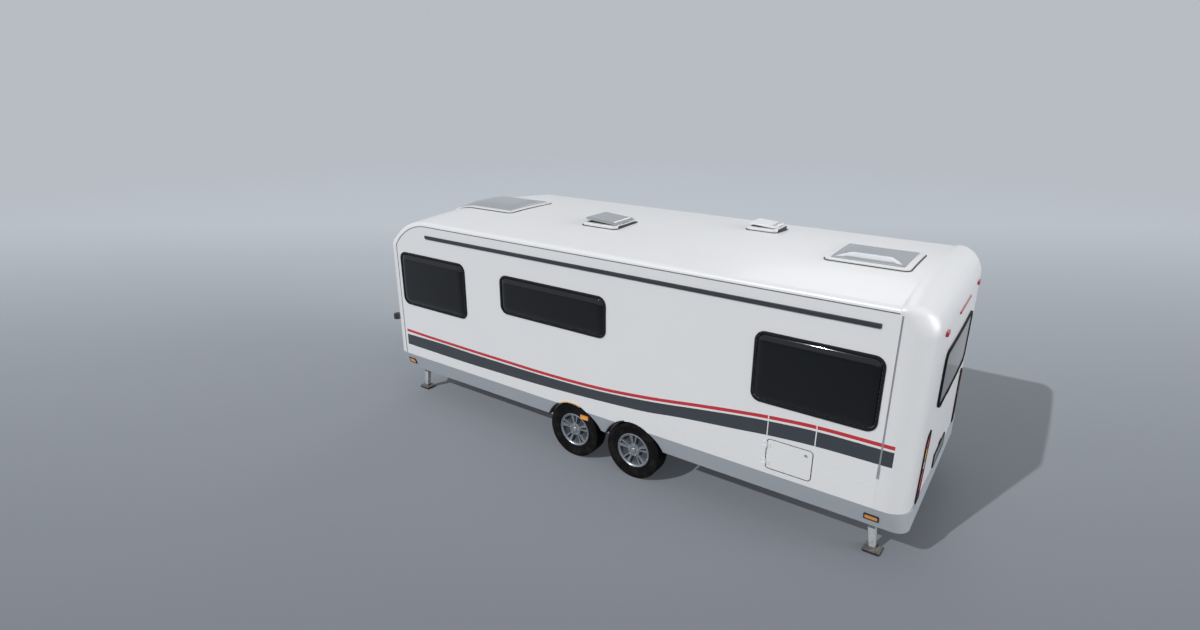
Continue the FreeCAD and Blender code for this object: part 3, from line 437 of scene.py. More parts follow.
def rim(name, x, material):
    """A casting with a rolled lip, a dished web, five split spokes and a hub."""
    centre = Vector((x, rim_face_y, hub_z))
    piece = drum(name, (x, tyre_y, hub_z), rim_radius, rim_depth, 120)
    press(piece, (0, -1, 0))
    bpy.ops.mesh.delete(type="FACE")
    press(piece, (0, 1, 0))
    radius = rim_radius
    for size, rise in ((0.1965, 0.004), (0.190, 0.003), (0.186, -0.002), (0.182, -0.005), (0.178, -0.003),
                       (0.173, -0.001), (0.150, -0.002), (0.120, -0.003), (0.085, -0.001), (0.073, 0.001),
                       (0.070, 0.004), (0.046, 0.002), (0.030, 0.0), (0.028, -0.008), (0.012, -0.001)):
        pull((0, rise, 0))
        resize([size / radius, 1, size / radius], centre)
        radius = size

    def spot_of(face):
        spot = face.calc_center_median() - centre
        return math.degrees(math.atan2(spot.z, spot.x)) % 72, spot.xz.length

    def in_window(face):
        """Wide windows between the spokes, and the narrow slot that splits each one."""
        turned_by, reach = spot_of(face)
        if abs(face.normal.y) < 0.5 or not 0.073 < reach < 0.174:
            return False
        window, slot = abs(turned_by - 54) < 25.2, abs((turned_by + 18) % 72 - 36) < 4.6
        return window or (slot and reach > 0.100)

    # The window floors, pressed 36 mm in, take a dark blue-grey: painted shade for the gaps of an open rim.
    pick(piece, "FACE", in_window)
    bpy.ops.mesh.inset(thickness=0.0015, depth=-0.002)
    bpy.ops.mesh.inset(thickness=0.0008, depth=-0.034)
    piece.data.materials.append(material)
    piece.data.materials.append(window_shade_black)
    mesh = bmesh.from_edit_mesh(piece.data)
    for face in mesh.faces:
        if face.select:
            face.material_index = 1
    bmesh.update_edit_mesh(piece.data)
    return close(piece, material, sharp=32)


def bolts(name, x, material):
    """Five hexagon bolts on a 112 mm circle, and the plain centre cap."""
    heads, circle = [], 0.056
    for index in range(5):
        angle = math.radians(90 + 72 * index)
        spot = (x + circle * math.cos(angle), rim_face_y - 0.006, hub_z + circle * math.sin(angle))
        heads.append(drum(name, spot, 0.0095, 0.014, 6))
        press(heads[-1], (0, 1, 0), (0.002, 0.002), (0.003, -0.002))
    cap = drum(name, (x, rim_face_y - 0.009, hub_z), 0.028, 0.018, 40)
    press(cap, (0, 1, 0), (0.004, 0.003), (0.010, 0.002))
    joined(name, [cap] + heads)
    bpy.ops.object.mode_set(mode="EDIT")
    return close(cap, material, sharp=30)


rubber = tyre_rubber()
silver = silver_paint()
# Painted shade: the dark blue-grey floor of the rim's windows, where a real rim is open to the shade behind.
window_shade_black = soft_black("rim_well", (0.022, 0.030, 0.044), (0.060, 0.076, 0.100), 0.4, 90.0)
bolt_steel = bolt_chrome()
corners = [("front", "left"), ("front", "right"), ("rear", "left"), ("rear", "right")]
wheel_x = {end: sum(corner.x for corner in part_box(end + "_left_tyre")) / 2 for end in ("front", "rear")}
first = [tyre("front_left_cover", wheel_x["front"], rubber), rim("front_left_casting", wheel_x["front"], silver),
         bolts("front_left_bolts", wheel_x["front"], bolt_steel)]
sets = {("front", "left"): first}
for end, side in corners[1:]:
    step = (wheel_x[end] - wheel_x["front"], 0, 0)
    sets[end, side] = [another(piece, end + "_" + side + piece.name[len("front_left"):], step, side == "right")
                       for piece in first]
for (end, side), (cover, casting, fixings) in sets.items():
    wheel = end + "_" + side
    fit(cover, wheel + "_wheel", "tyre_rubber", wheel + "_tyre")
    fit(casting, wheel + "_wheel", "alloy", wheel + "_rim")
    fit(fixings, wheel + "_wheel", "alloy")

# ==== Wheel arches =============================================================================
# Vacuum-formed black liners screwed up under the floor, with a rubber lip stapled round the
# front of each arch, a tan rub strip over the front one and an amber reflector on a bracket.

panel_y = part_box("left_sill")[1][1]
dress(["wheel_boxes"], soft_black("arch_liner", (0.010, 0.010, 0.011), (0.028, 0.028, 0.030), 0.66, 120.0))
lip_rubber = soft_black("lip_rubber", (0.008, 0.008, 0.009), (0.022, 0.022, 0.024), 0.42, 300.0)


def sheet(name, centre, along_x, along_y):
    """A flat section, lying level and open for drawing out."""
    deselect()
    bpy.ops.mesh.primitive_plane_add(size=1, location=centre)
    bpy.context.object.scale = (along_x, along_y, 1)
    piece = begin(name)
    bpy.ops.mesh.select_all(action="SELECT")
    return piece


def arc_strip(name, wheel, radii, depths, start, sweep, material):
    """A strip bent round a wheel's axis: radii and depths are its section, angles from the front."""
    (inner, outer), (low, high) = radii, depths
    axle = (wheel_x[wheel], 0, hub_z)
    piece = sheet(name, (axle[0] + (inner + outer) / 2, (low + high) / 2, hub_z), outer - inner, high - low)
    turn(-math.radians(start), "Y", axle)
    bpy.ops.mesh.spin(steps=int(sweep / 4), angle=math.radians(sweep), center=axle, axis=(0, 1, 0))
    return close(piece, material, sharp=40, edge=0.0015)


def tan_vinyl():
    material, tree, shader, place = finish_of("tan_vinyl", Roughness=0.5)
    cloud = noise(tree, place, 26.0, 5.0)
    surface(tree, shader, mix(tree, cloud, (0.50, 0.34, 0.16), (0.72, 0.55, 0.30)), None, cloud, 0.3, 0.001)
    return material


def prisms_of(tree, place, scale):
    """Rows of small moulded prisms: 0 in the grooves between them."""
    cells = add(tree, "TexVoronoi", {"Vector": place, "Scale": scale, "Randomness": 0.15}, feature="DISTANCE_TO_EDGE")
    return ramp(tree, cells.outputs["Distance"], 0.02, 0.30)


def lens_finish(name, groove_shade, bright, glow):
    """Coloured acrylic over small moulded prisms, with painted shade in their grooves; glow is painted light on the
    arch reflector.
    """
    material, tree, shader, place = finish_of(name, Roughness=0.12, Coat_Weight=0.6, Coat_Roughness=0.05,
                                              Emission_Strength=glow)
    facet = prisms_of(tree, place, 150.0)
    # Painted shade: the colour darkens into the grooves between the prisms.
    colour = mix(tree, facet, groove_shade, bright)
    surface(tree, shader, colour, None, facet, 0.4, 0.001)
    tree.links.new(colour, shader.inputs["Emission Color"])
    return material


# The arch reflector's faint glow is painted light, as a reflector is no lamp.
amber_lens = lens_finish("amber_lens", (0.55, 0.19, 0.02), (0.95, 0.42, 0.07), 0.12)


def both_sides(piece, slot="black_trim"):
    """Fits a left piece and its right copy to the body."""
    right = another(piece, piece.name.replace("left", "right"), flipped=True)
    fit(piece, slot=slot)
    fit(right, slot=slot)


lip_in, lip_out, lip_face = 0.346, 0.361, 1.240  # the lip's radii from the wheel's axis, and its edge
for end, sweep in (("front", 38), ("rear", 54)):
    both_sides(arc_strip(end + "_left_arch_lip", end, (lip_in, lip_out), (1.165, lip_face), 20, sweep, lip_rubber))
both_sides(arc_strip("left_rub_strip", "front", (lip_in, lip_out - 0.001), (1.195, lip_face), 58, 50, tan_vinyl()),
           "white_trim")

bracket_x = (wheel_x["front"] - 0.238, wheel_x["front"] - 0.096)
bracket_z = (0.510, 0.570)
bracket = plate("left_reflector_bracket", (bracket_x[0], 1.2175, bracket_z[0]), (bracket_x[1], 1.2215, bracket_z[1]),
                "Y", 0.010, 4, (0, 1, 0), (0.006, 0.0015))
both_sides(close(bracket, lip_rubber, edge=0.0006))
glass = plate("left_arch_reflector", (bracket_x[0] + 0.026, 1.222, bracket_z[0] + 0.004),
              (bracket_x[1] - 0.012, 1.2295, bracket_z[1] - 0.006),
              "Y", 0.007, 4, (0, 1, 0), (0.004, 0.0), (0.001, -0.0015))
both_sides(close(glass, amber_lens, edge=0.0008), "amber_lens")

# ==== Floor ====================================================================================
# Bonded plywood floor sealed with black bitumen below, and painted ply round the gas bottles.
# The boards are screwed down to the chassis rails, and the road throws dirt up at them.


def stretched(tree, place, scale):
    return add(tree, "Mapping", {"Vector": place, "Scale": scale}).outputs[0]


def sealed_ply():
    material, tree, shader, place = finish_of("sealed_ply", Roughness=0.72)
    grain = noise(tree, stretched(tree, place, (1.5, 26.0, 26.0)), 3.0, 8.0)
    colour = mix(tree, grain, (0.045, 0.038, 0.031), (0.13, 0.105, 0.080))
    colour = mix(tree, use(tree, road_film, Top=0.8, Base=0.15), colour, (0.22, 0.19, 0.16))
    surface(tree, shader, colour, None, grain, 0.4, 0.001)
    return material


dress(["floor", "gas_locker_bulkhead", "gas_locker_shelf"], sealed_ply())

# ==== Corner steadies ==========================================================================
# Pressed steel legs wound down from the chassis, painted pale grey over the zinc.
# Each stands on a square pad with a black rubber sole.

pad_x = {"front": 2.260, "rear": -3.770}
pad_y, pad_half_x, pad_half_y, sole_height, pad_top = 0.945, 0.0795, 0.067, 0.021, 0.048


def leg_paint():
    """Pale grey paint, bare on the edges; the pads are dipped in dark paint."""
    material, tree, shader, place = finish_of("leg_paint", Roughness=0.42)
    cloud = noise(tree, place, 13.0, 7.0)
    wear = use(tree, worn_edges, Reach=0.003)
    colour = mix(tree, wear, mix(tree, cloud, (0.40, 0.43, 0.46), (0.52, 0.55, 0.58)), (0.24, 0.23, 0.22))
    height = add(tree, "SeparateXYZ", {0: place}).outputs[2]
    colour = mix(tree, ramp(tree, height, pad_top + 0.002, pad_top - 0.002), colour, (0.085, 0.088, 0.095))
    colour = mix(tree, use(tree, road_film, Top=0.5, Base=0.08), colour, (0.27, 0.25, 0.22))
    surface(tree, shader, colour, None, cloud, 0.2, 0.001)
    tree.links.new(wear, shader.inputs["Metallic"])
    return material


dress([end + "_" + side + "_steady" for end, side in corners], leg_paint())
sole = plate("front_left_sole", (pad_x["front"] - pad_half_x, pad_y - pad_half_y, 0.0),
             (pad_x["front"] + pad_half_x, pad_y + pad_half_y, sole_height),
             "Z", 0.010, 4, (0, 0, -1), (0.012, 0.0), (0.002, -0.003))
press(sole, (0, 0, 1), (0.0035, 0.0), (0.001, -0.004))
sole = close(sole, lip_rubber, edge=0.001)
soles = {("front", "left"): sole}
for end, side in corners[1:]:
    soles[end, side] = another(sole, end + "_" + side + "_sole", (pad_x[end] - pad_x["front"], 0, 0), side == "right")
for (end, side), piece in soles.items():
    fit(piece, end + "_" + side + "_steady_leg", "solid_tyre")

# ==== Skirts ===================================================================================
# Pale grey plastic mouldings pressed in one length each and screwed under the floor's edge.
# They lean in towards the road, are lightly grained, and carry most of the road dirt.

dust_brown = (0.34, 0.31, 0.27)


def gloss_white(name, low, high, rough, film_top, film, peel, coat):
    """Gloss moulding or painted sheet: faint mottling, a fine orange-peel skin and thin dirt."""
    material, tree, shader, place = finish_of(name, Coat_Weight=coat, Coat_Roughness=0.06)
    broad, skin = noise(tree, place, 1.7, 5.0, 0.55), noise(tree, place, peel, 2.0)
    streaks = noise(tree, stretched(tree, place, (9.0, 9.0, 0.55)), 2.4, 6.0, 0.65)
    grey = tuple(channel * 0.92 for channel in low)
    colour = mix(tree, ramp(tree, streaks, 0.50, 0.86, 0.0, 0.05), mix(tree, broad, low, high), grey)
    dust = maths(tree, "MULTIPLY", use(tree, road_film, Top=film_top, Base=0.0), film)
    level = ramp(tree, broad, 0.0, 1.0, rough - 0.006, rough + 0.006)
    surface(tree, shader, mix(tree, dust, colour, dust_brown), maths(tree, "ADD", level, dust), skin, 0.02, 0.0003)
    return material


skirt_grey = gloss_white("skirt_grey", (0.375, 0.403, 0.440), (0.410, 0.438, 0.475), 0.38, 0.62, 0.35, 260.0, 0.0)
dress(["left_sill", "right_sill", "front_skirt", "rear_bumper"], skirt_grey)
dress(["side_marker_lamps"], amber_lens)

skirt_top, skirt_lean = 0.618, math.atan2(0.075, 0.218)


def hollow(piece, way, band):
    """Opens a block right through, leaving a band of one width round the hole."""
    for sign in (1, -1):
        press(piece, Vector(way) * sign, (band, 0.0))
        bpy.ops.mesh.delete(type="FACE")
    pick(piece, "EDGE", lambda e: e.is_boundary)
    bpy.ops.mesh.bridge_edge_loops()


rim_over, rim_proud = 0.009, 0.013              # how far the bezel stands round and before its lamp
for end, x, z, half_x, half_z in (("front", 2.205, 0.510, 0.052, 0.030), ("rear", -3.760, 0.506, 0.055, 0.024)):
    face_y = panel_y - (skirt_top - z) * math.tan(skirt_lean)
    bezel = block(end + "_left_lamp_bezel", (x - half_x - rim_over, face_y, z - half_z - rim_over),
                  (x + half_x + rim_over, face_y + rim_proud, z + half_z + rim_over))
    soften(bezel, "Y", 0.006, 3)
    hollow(bezel, (0, 1, 0), 0.010)
    bpy.ops.mesh.select_all(action="SELECT")
    turn(-skirt_lean, "X", (x, face_y, z))
    both_sides(close(bezel, lip_rubber, edge=0.001))

# ==== Side panels ==============================================================================
# Bonded sandwich walls skinned in aluminium sheet, stove-painted a slightly greyer white.
# The service hatch and entrance door are cut from the same sheet and hung on barrel hinges.

sheet_white = gloss_white("sheet_white", (0.695, 0.702, 0.715), (0.725, 0.732, 0.742), 0.27, 0.95, 0.22, 340.0, 0.3)
dress(["left_wall", "right_wall", "service_hatch", "entrance_door"], sheet_white)


def round_ring(name, low, high, corner, band, material, edge=0.0):
    """An upright ring with round corners: its outer size, its corner radius and its band."""
    piece = block(name, low, high)
    soften(piece, "Y", corner, 8)
    hollow(piece, (0, 1, 0), band)
    return close(piece, material, edge=edge)


seal_black = soft_black("seal_rubber", (0.012, 0.012, 0.013), (0.030, 0.030, 0.032), 0.55, 500.0)
seal_band, seal_deep, seal_proud = 0.004, 0.002, 0.0012
hatch_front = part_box("service_hatch")[0].x - 0.005
for name, (x0, x1), (z0, z1), (y0, y1), corner in (
        ("hatch_seal", (hatch_front, -2.780), (0.675, 0.980), (panel_y - seal_deep, panel_y + seal_proud), 0.040),
        ("door_seal", (0.020, 0.640), (0.650, 2.235), (-panel_y - seal_proud, -panel_y + seal_deep), 0.065)):
    fit(round_ring(name, (x0 - seal_band, y0, z0 - seal_band), (x1 + seal_band, y1, z1 + seal_band),
                   corner, seal_band, seal_black))

# ==== Panel seam and corner trims ==============================================================
# A thin aluminium bead is pressed into mastic where the roof and front mouldings meet the side
# sheet. A wider snap-in cover strip closes the rear corner joint and ends in a flared foot.

nose_centre, nose_radius = Vector((1.6962, 0, 1.698)), 0.700
nose_corner, nose_corner_radius = Vector((2.185, 0, 2.0794)), 0.080
panel_front, panel_rear, panel_foot = 2.265, -3.768, 0.622


def drawn_trim(name, low, high):
    """Drawn aluminium strip, with fine lines along its length."""
    material, tree, shader, place = finish_of(name, Metallic=0.35)
    lines = noise(tree, stretched(tree, place, (1.0, 1.0, 0.06)), 90.0, 4.0)
    surface(tree, shader, mix(tree, lines, low, high), ramp(tree, lines, 0.3, 0.7, 0.25, 0.42), lines, 0.15, 0.0006)
    return material


trim_grey = drawn_trim("trim_grey", (0.28, 0.29, 0.31), (0.44, 0.45, 0.47))
bead_grey = drawn_trim("bead_grey", (0.10, 0.105, 0.11), (0.17, 0.175, 0.185))

bead_half, bead_proud = 0.004, 0.0022
bead = sheet("left_seam_bead", (panel_front, panel_y + bead_proud / 2, panel_foot), 2 * bead_half, bead_proud + 0.001)
pull((0, 0, nose_corner.z - panel_foot))
first_turn = math.acos((nose_corner.x - nose_centre.x) / (nose_radius - nose_corner_radius))
bpy.ops.mesh.spin(steps=8, angle=first_turn, center=nose_corner, axis=(0, 1, 0))
bpy.ops.mesh.spin(steps=40, angle=math.pi / 2 - first_turn, center=nose_centre, axis=(0, 1, 0))
pull((panel_rear + 0.025 - nose_centre.x, 0, 0))
both_sides(close(bead, bead_grey, edge=0.0008), "white_trim")

strip_half, strip_foot, foot_flare = 0.0065, 1.06, 1.7
cover = block("left_corner_cover", (panel_rear - strip_half, panel_y - 0.002, strip_foot),
              (panel_rear + strip_half, panel_y + 0.004, 2.385))
press(cover, (0, 0, -1))
pull((0, 0, -0.05))
resize((foot_flare, 1, 1), (panel_rear, panel_y, strip_foot))
pull((0, 0, -0.095))
press(cover, (0, 1, 0), (0.0035, 0.0), (0.0006, -0.0022))
both_sides(close(cover, trim_grey, edge=0.0014, rounds=3), "white_trim")

# ==== Stripes ==================================================================================
# Self-adhesive vinyl: a thin red line over a broad slate band, both dipping behind the wheels
# and rising to the rear corner, with two white breaks either side of the service hatch.


def vinyl(name, low, high):
    """Cast vinyl film: faint stretch marks, slightly uneven gloss and a few dull scuffs."""
    material, tree, shader, place = finish_of(name)
    marks = noise(tree, stretched(tree, place, (0.5, 4.0, 14.0)), 6.0, 5.0)
    scuffs = noise(tree, place, 21.0, 7.0, 0.7)
    dust = maths(tree, "MULTIPLY", use(tree, road_film, Top=1.05, Base=0.0), 0.2)
    surface(tree, shader, mix(tree, dust, mix(tree, marks, low, high), dust_brown),
            ramp(tree, scuffs, 0.45, 0.80, 0.30, 0.50), marks, 0.06, 0.0004)
    return material


red_vinyl = vinyl("red_vinyl", (0.46, 0.026, 0.036), (0.55, 0.040, 0.050))
slate_vinyl = vinyl("slate_vinyl", (0.038, 0.045, 0.055), (0.049, 0.056, 0.067))
white_vinyl = vinyl("white_vinyl", (0.66, 0.67, 0.69), (0.72, 0.73, 0.74))

red_line = [(2.22, 0.953), (1.78, 0.944), (1.24, 0.938), (0.56, 0.935), (-0.20, 0.936), (-0.89, 0.962),
            (-1.52, 1.025), (-2.08, 1.107), (-2.50, 1.165), (-2.77, 1.197), (-3.21, 1.232), (-3.867, 1.240)]
band_top = [(2.22, 0.897), (1.6, 0.905), (0.9, 0.897), (-0.20, 0.902), (-0.89, 0.928), (-1.52, 0.988),
            (-2.08, 1.068), (-2.50, 1.127), (-2.77, 1.158), (-3.21, 1.192), (-3.867, 1.200)]
band_bottom = [(2.22, 0.756), (1.8, 0.752), (1.25, 0.750), (0.91, 0.752), (-0.20, 0.778), (-1.40, 0.849),
               (-1.87, 0.913), (-2.51, 0.982), (-2.79, 1.014), (-3.23, 1.045), (-3.867, 1.055)]
red_half, break_half, film = 0.0175, 0.0045, 0.0006
moulding_flat, corner_round = -3.843, 0.200


def level(points, x):
    """Height of a smooth line through the points at one place along the side."""
    for index in range(len(points) - 1):
        (x0, z0), (x1, z1) = points[index], points[index + 1]
        if x1 <= x <= x0:
            before, after = points[max(index - 1, 0)], points[min(index + 2, len(points) - 1)]
            slope0 = (z1 - before[1]) / (x1 - before[0])
            slope1 = (after[1] - z0) / (after[0] - x0)
            share, run = (x - x0) / (x1 - x0), x1 - x0
            square, cube = share ** 2, share ** 3
            return ((2 * cube - 3 * square + 1) * z0 + (cube - 2 * square + share) * run * slope0
                    + (3 * square - 2 * cube) * z1 + (cube - square) * run * slope1)
    return points[0][1] if x > points[0][0] else points[-1][1]


def side_y(x):
    """The side's outer face, which turns in past the moulding's flat."""
    past = max(0.0, moulding_flat - x)
    return panel_y - corner_round + math.sqrt(corner_round ** 2 - past ** 2)


def ribbon(name, low_of, high_of, front, rear, material, lift=0.0):
    """A strip of film on the left side, laid from front to rear in short steps."""
    count = max(2, int((front - rear) / 0.10))
    stops = [front + (rear - front) * i / count for i in range(count + 1)]
    if rear < moulding_flat:
        stops = [x for x in stops if x > moulding_flat] + [moulding_flat, (moulding_flat + rear) / 2, rear]
    spans = [(x, low_of(x), high_of(x)) for x in stops]
    x0, low, high = spans[0]
    deselect()
    bpy.ops.mesh.primitive_plane_add(size=1, location=(x0, panel_y + 0.0004 + lift, (low + high) / 2),
                                     rotation=(-math.pi / 2, 0, 0))
    bpy.context.object.scale = (0.001, high - low, 1)
    piece = begin(name)
    pick(piece, "EDGE", lambda e: all(v.co.x < x0 for v in e.verts))
    before = (x0 - 0.0005, low, high)
    for x, low, high in spans[1:]:
        middle = (low + high) / 2
        pull((x - before[0], side_y(x) - side_y(before[0]), middle - (before[1] + before[2]) / 2))
        resize((1, 1, (high - low) / (before[2] - before[1])), (x, 0, middle))
        before = (x, low, high)
    bpy.ops.object.mode_set(mode="OBJECT")
    tool = piece.modifiers.new("film", "SOLIDIFY")
    tool.thickness, tool.offset = film, 0.0
    bpy.ops.object.modifier_apply(modifier=tool.name)
    bpy.ops.object.mode_set(mode="EDIT")
    return close(piece, material)


def red_low(x):
    return level(red_line, x) - red_half


def red_high(x):
    return level(red_line, x) + red_half


def slate_low(x):
    return level(band_bottom, x)


def slate_high(x):
    return level(band_top, x)


front_stop, rear_stop = 2.220, -3.867
door_rear, door_front, door_gap = 0.0225, 0.6375, 0.0045
for label, low_of, high_of, film_finish in (("red_line", red_low, red_high, red_vinyl),
                                            ("slate_band", slate_low, slate_high, slate_vinyl)):
    fit(ribbon("left_" + label, low_of, high_of, front_stop, rear_stop, film_finish), slot="side_panel")
    for part, front, rear, body in (("front", front_stop, door_front + door_gap, "root"),
                                    ("door", door_front - door_gap, door_rear + door_gap, "door"),
                                    ("rear", door_rear - door_gap, rear_stop, "root")):
        left = ribbon("right_" + part + "_" + label, low_of, high_of, front, rear, film_finish)
        right = another(left, "right_" + part + "_" + label + "_film", flipped=True)
        bpy.data.objects.remove(left)
        fit(right, body, "side_panel")
for index, x in enumerate((-2.775, -3.218)):
    both_sides(ribbon("left_break_" + str(index), slate_low, red_high, x + break_half, x - break_half, white_vinyl,
                      lift=film), "side_panel")

# ==== Roof and end mouldings ===================================================================
# One-piece capped acrylic roof with matching front and rear mouldings, gloss white and curved
# into each other. The gas locker lid is trimmed from the front moulding and hangs from its top.

cap_white = gloss_white("cap_white", (0.675, 0.682, 0.692), (0.705, 0.711, 0.720), 0.36, 0.95, 0.22, 220.0, 0.12)
dress(["front_wall", "rear_wall", "roof", "gas_locker_lid"], cap_white)

lid_face, catch_z, catch_half = 2.482, 0.780, (0.055, 0.035)
for side, y in (("left", 0.42), ("right", -0.42)):
    catch = plate(side + "_locker_catch", (lid_face - 0.006, y - catch_half[0], catch_z - catch_half[1]),
                  (lid_face + 0.004, y + catch_half[0], catch_z + catch_half[1]),
                  "X", 0.018, 6, (1, 0, 0), (0.010, 0.0), (0.004, -0.006), (0.008, 0.0), (0.001, 0.007))
    fit(close(catch, grip_black, edge=0.0012), "locker_lid")

# ==== Side windows =============================================================================
# Double acrylic panes, tinted nearly black and blown into a pillow, each held in a thick black
# rubber frame with round corners. A ribbed bead is pressed in round the inside of the frame.

opening_corner, frame_band, frame_sunk, frame_proud = 0.095, 0.024, 0.012, 0.014
openings = {
    "left_front_window": (1, 1.066, 2.201, 1.336, 2.028),
    "left_middle_window": (1, -0.965, 0.500, 1.545, 2.005),
    "left_rear_window": (1, -3.704, -2.583, 1.332, 2.018),
    "right_front_window": (-1, 1.330, 2.201, 1.336, 2.028),
    "right_middle_window": (-1, -1.700, -0.700, 1.545, 2.005),
    "right_rear_window": (-1, -3.704, -2.583, 1.332, 2.018),
    "door_window": (-1, 0.175, 0.485, 1.480, 1.960),
}

frame_rubber = soft_black("frame_rubber", (0.0035, 0.0035, 0.0042), (0.009, 0.009, 0.010), 0.66, 260.0)


def tinted(name, haze):
    """Nearly black acrylic, with a thin dust haze that shows at a shallow angle."""
    material, tree, shader, place = finish_of(name, IOR=1.50, Coat_Weight=0.35, Coat_Roughness=0.05,
                                              Sheen_Weight=haze, Sheen_Roughness=0.30)
    cloud = noise(tree, place, 1.3, 3.0)
    hair = add(tree, "Mapping", {"Vector": place, "Rotation": (0.0, 0.5, 0.0), "Scale": (2.0, 2.0, 60.0)}).outputs[0]
    scratch = noise(tree, hair, 9.0, 5.0, 0.7)
    surface(tree, shader, mix(tree, cloud, (0.0015, 0.0020, 0.0032), (0.0035, 0.0042, 0.0058)),
            ramp(tree, scratch, 0.50, 0.80, 0.05, 0.13), cloud, 0.04, 0.002)
    return material


tint = tinted("tinted_acrylic", 0.10)
full_pillow = 0.30                              # a narrower pane has a proportionally narrower pillow
pillow = [(0.0060, 0.0105), (0.0057, 0.0040), (0.0069, 0.0040), (0.0079, 0.0037), (0.0090, 0.0033),
          (0.0104, 0.0028), (0.0120, 0.0021), (0.0134, 0.0013), (0.0144, 0.0006)]


def ribbed_bead():
    """Rubber bead with short moulded ribs across it, with painted highlights where they stand up."""
    rib_pitch = 0.016
    material, tree, shader, place = finish_of("ribbed_bead", Roughness=0.5, Specular_IOR_Level=0.2)
    along = add(tree, "SeparateXYZ", {0: add(tree, "UVMap").outputs[0]}).outputs[0]
    wave = maths(tree, "SINE", maths(tree, "MULTIPLY", along, 2 * math.pi / rib_pitch), 0.5)
    rib_and_highlight = ramp(tree, wave, -0.1, 0.5)
    worn = ramp(tree, noise(tree, place, 30.0, 3.0), 0.35, 0.75, 0.0, 0.6)
    # Painted highlight: the rib tops are paler than the rubber between them.
    colour = mix(tree, rib_and_highlight, (0.004, 0.004, 0.005), (0.05, 0.054, 0.06))
    surface(tree, shader, mix(tree, worn, colour, (0.02, 0.02, 0.02)), None, rib_and_highlight, 0.6, 0.002)
    return material


bead_finish = ribbed_bead()


def wrap_length(piece):
    """Writes each face corner's distance round the ring as its own UV."""
    mesh = piece.data
    xs = [v.co.x for v in mesh.vertices]
    zs = [v.co.z for v in mesh.vertices]
    middle = ((min(xs) + max(xs)) / 2, (min(zs) + max(zs)) / 2)
    half = ((max(xs) - min(xs)) / 2, (max(zs) - min(zs)) / 2)
    uv = mesh.uv_layers.new(name="round_ring")
    for polygon in mesh.polygons:
        spot = polygon.center
        upright = (half[0] - abs(spot.x - middle[0])) < (half[1] - abs(spot.z - middle[1]))
        for corner in polygon.loop_indices:
            point = mesh.vertices[mesh.loops[corner].vertex_index].co
            uv.data[corner].uv = (point.z if upright else point.x, 0.5)


def side_window(name, side, x0, x1, z0, z1):
    """Frame, bead and pane of one opening, shaped on the left side."""
    ring = round_ring(name + "_frame", (x0, panel_y - frame_sunk, z0), (x1, panel_y + frame_proud, z1),
                      opening_corner, frame_band, frame_rubber, edge=0.004)
    inner, lap = frame_band - 0.001, 0.004
    bead_in = inner - lap
    bead = round_ring(name + "_bead", (x0 + bead_in, panel_y + 0.010, z0 + bead_in),
                      (x1 - bead_in, panel_y + 0.015, z1 - bead_in),
                      opening_corner - frame_band + lap, 0.005, bead_finish, edge=0.001)
    wrap_length(bead)
    glass = plate(name + "_pane", (x0 + inner, panel_y - 0.016, z0 + inner),
                  (x1 - inner, panel_y - 0.004, z1 - inner), "Y", opening_corner - frame_band, 8, (0, 1, 0))
    width, height = x1 - x0 - 2 * inner, z1 - z0 - 2 * inner
    middle = ((x0 + x1) / 2, panel_y, (z0 + z1) / 2)
    reach = min(1.0, width / full_pillow, height / full_pillow)
    for step_in, rise in pillow:
        step = 2 * step_in * reach
        pull((0, rise, 0))
        resize(((width - step) / width, 1, (height - step) / height), middle)
        width, height = width - step, height - step
    glass = close(glass, tint, sharp=60)
    if side > 0:
        return ring, bead, glass
    mirrored = [another(piece, piece.name + "_right", flipped=True) for piece in (ring, bead, glass)]
    for piece in (ring, bead, glass):
        bpy.data.objects.remove(piece)
    return mirrored


for name, place in openings.items():
    body, frame_node, pane_node = (("door", "door_window_frame", "door_window_pane") if name == "door_window"
                                   else ("root", "side_window_frames", "side_window_panes"))
    ring, bead, glass = side_window(name, *place)
    fit(ring, body, "black_trim", frame_node)
    fit(bead, body)
    fit(glass, body, "tinted_acrylic", pane_node)

# ==== End windows ==============================================================================
# Tinted acrylic panes, bent warm to the curve of the front and rear mouldings and bonded in
# slim dark rubber frames. The weather has hazed them a little more than the side panes.

end_rubber = soft_black("end_frame_rubber", (0.014, 0.015, 0.017), (0.030, 0.032, 0.035), 0.42, 260.0)
dress(["end_window_frames"], end_rubber)
dress(["end_window_panes"], tinted("hazed_acrylic", 0.65))

# ==== Awning rails =============================================================================
# Slotted aluminium rails, drawn in one length each, powder-coated charcoal and screwed along
# the top of both sides. A thin lip covers the lower edge of each rail.


def powder_coat():
    material, tree, shader, place = finish_of("charcoal_powder", Metallic=0.1)
    fleck = noise(tree, place, 380.0, 2.0)
    scuff = noise(tree, stretched(tree, place, (0.6, 8.0, 30.0)), 5.0, 6.0)
    colour = mix(tree, fleck, (0.026, 0.030, 0.035), (0.044, 0.050, 0.057))
    colour = mix(tree, use(tree, worn_edges, Reach=0.002), colour, (0.30, 0.31, 0.32))
    colour = mix(tree, ramp(tree, scuff, 0.55, 0.80, 0.0, 0.4), colour, (0.12, 0.12, 0.12))
    surface(tree, shader, colour, ramp(tree, scuff, 0.3, 0.8, 0.38, 0.55), fleck, 0.25, 0.0006)
    return material


charcoal = powder_coat()
dress(["awning_rails"], charcoal)
rail_low, rail_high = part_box("awning_rails")
channel = block("left_rail_lip", (rail_low.x + 0.006, panel_y + 0.004, rail_low.z - 0.006),
                (rail_high.x - 0.006, panel_y + 0.0125, rail_low.z + 0.002))
press(channel, (0, 0, -1), (0.002, 0.0), (0.0004, -0.003))
both_sides(close(channel, charcoal, edge=0.0012))

# ==== Door and hatch furniture =================================================================
# A black lever handle in a dished plate on the entrance door, a plated lock barrel on the
# service hatch, and black bow handles at the front for moving the caravan by hand.

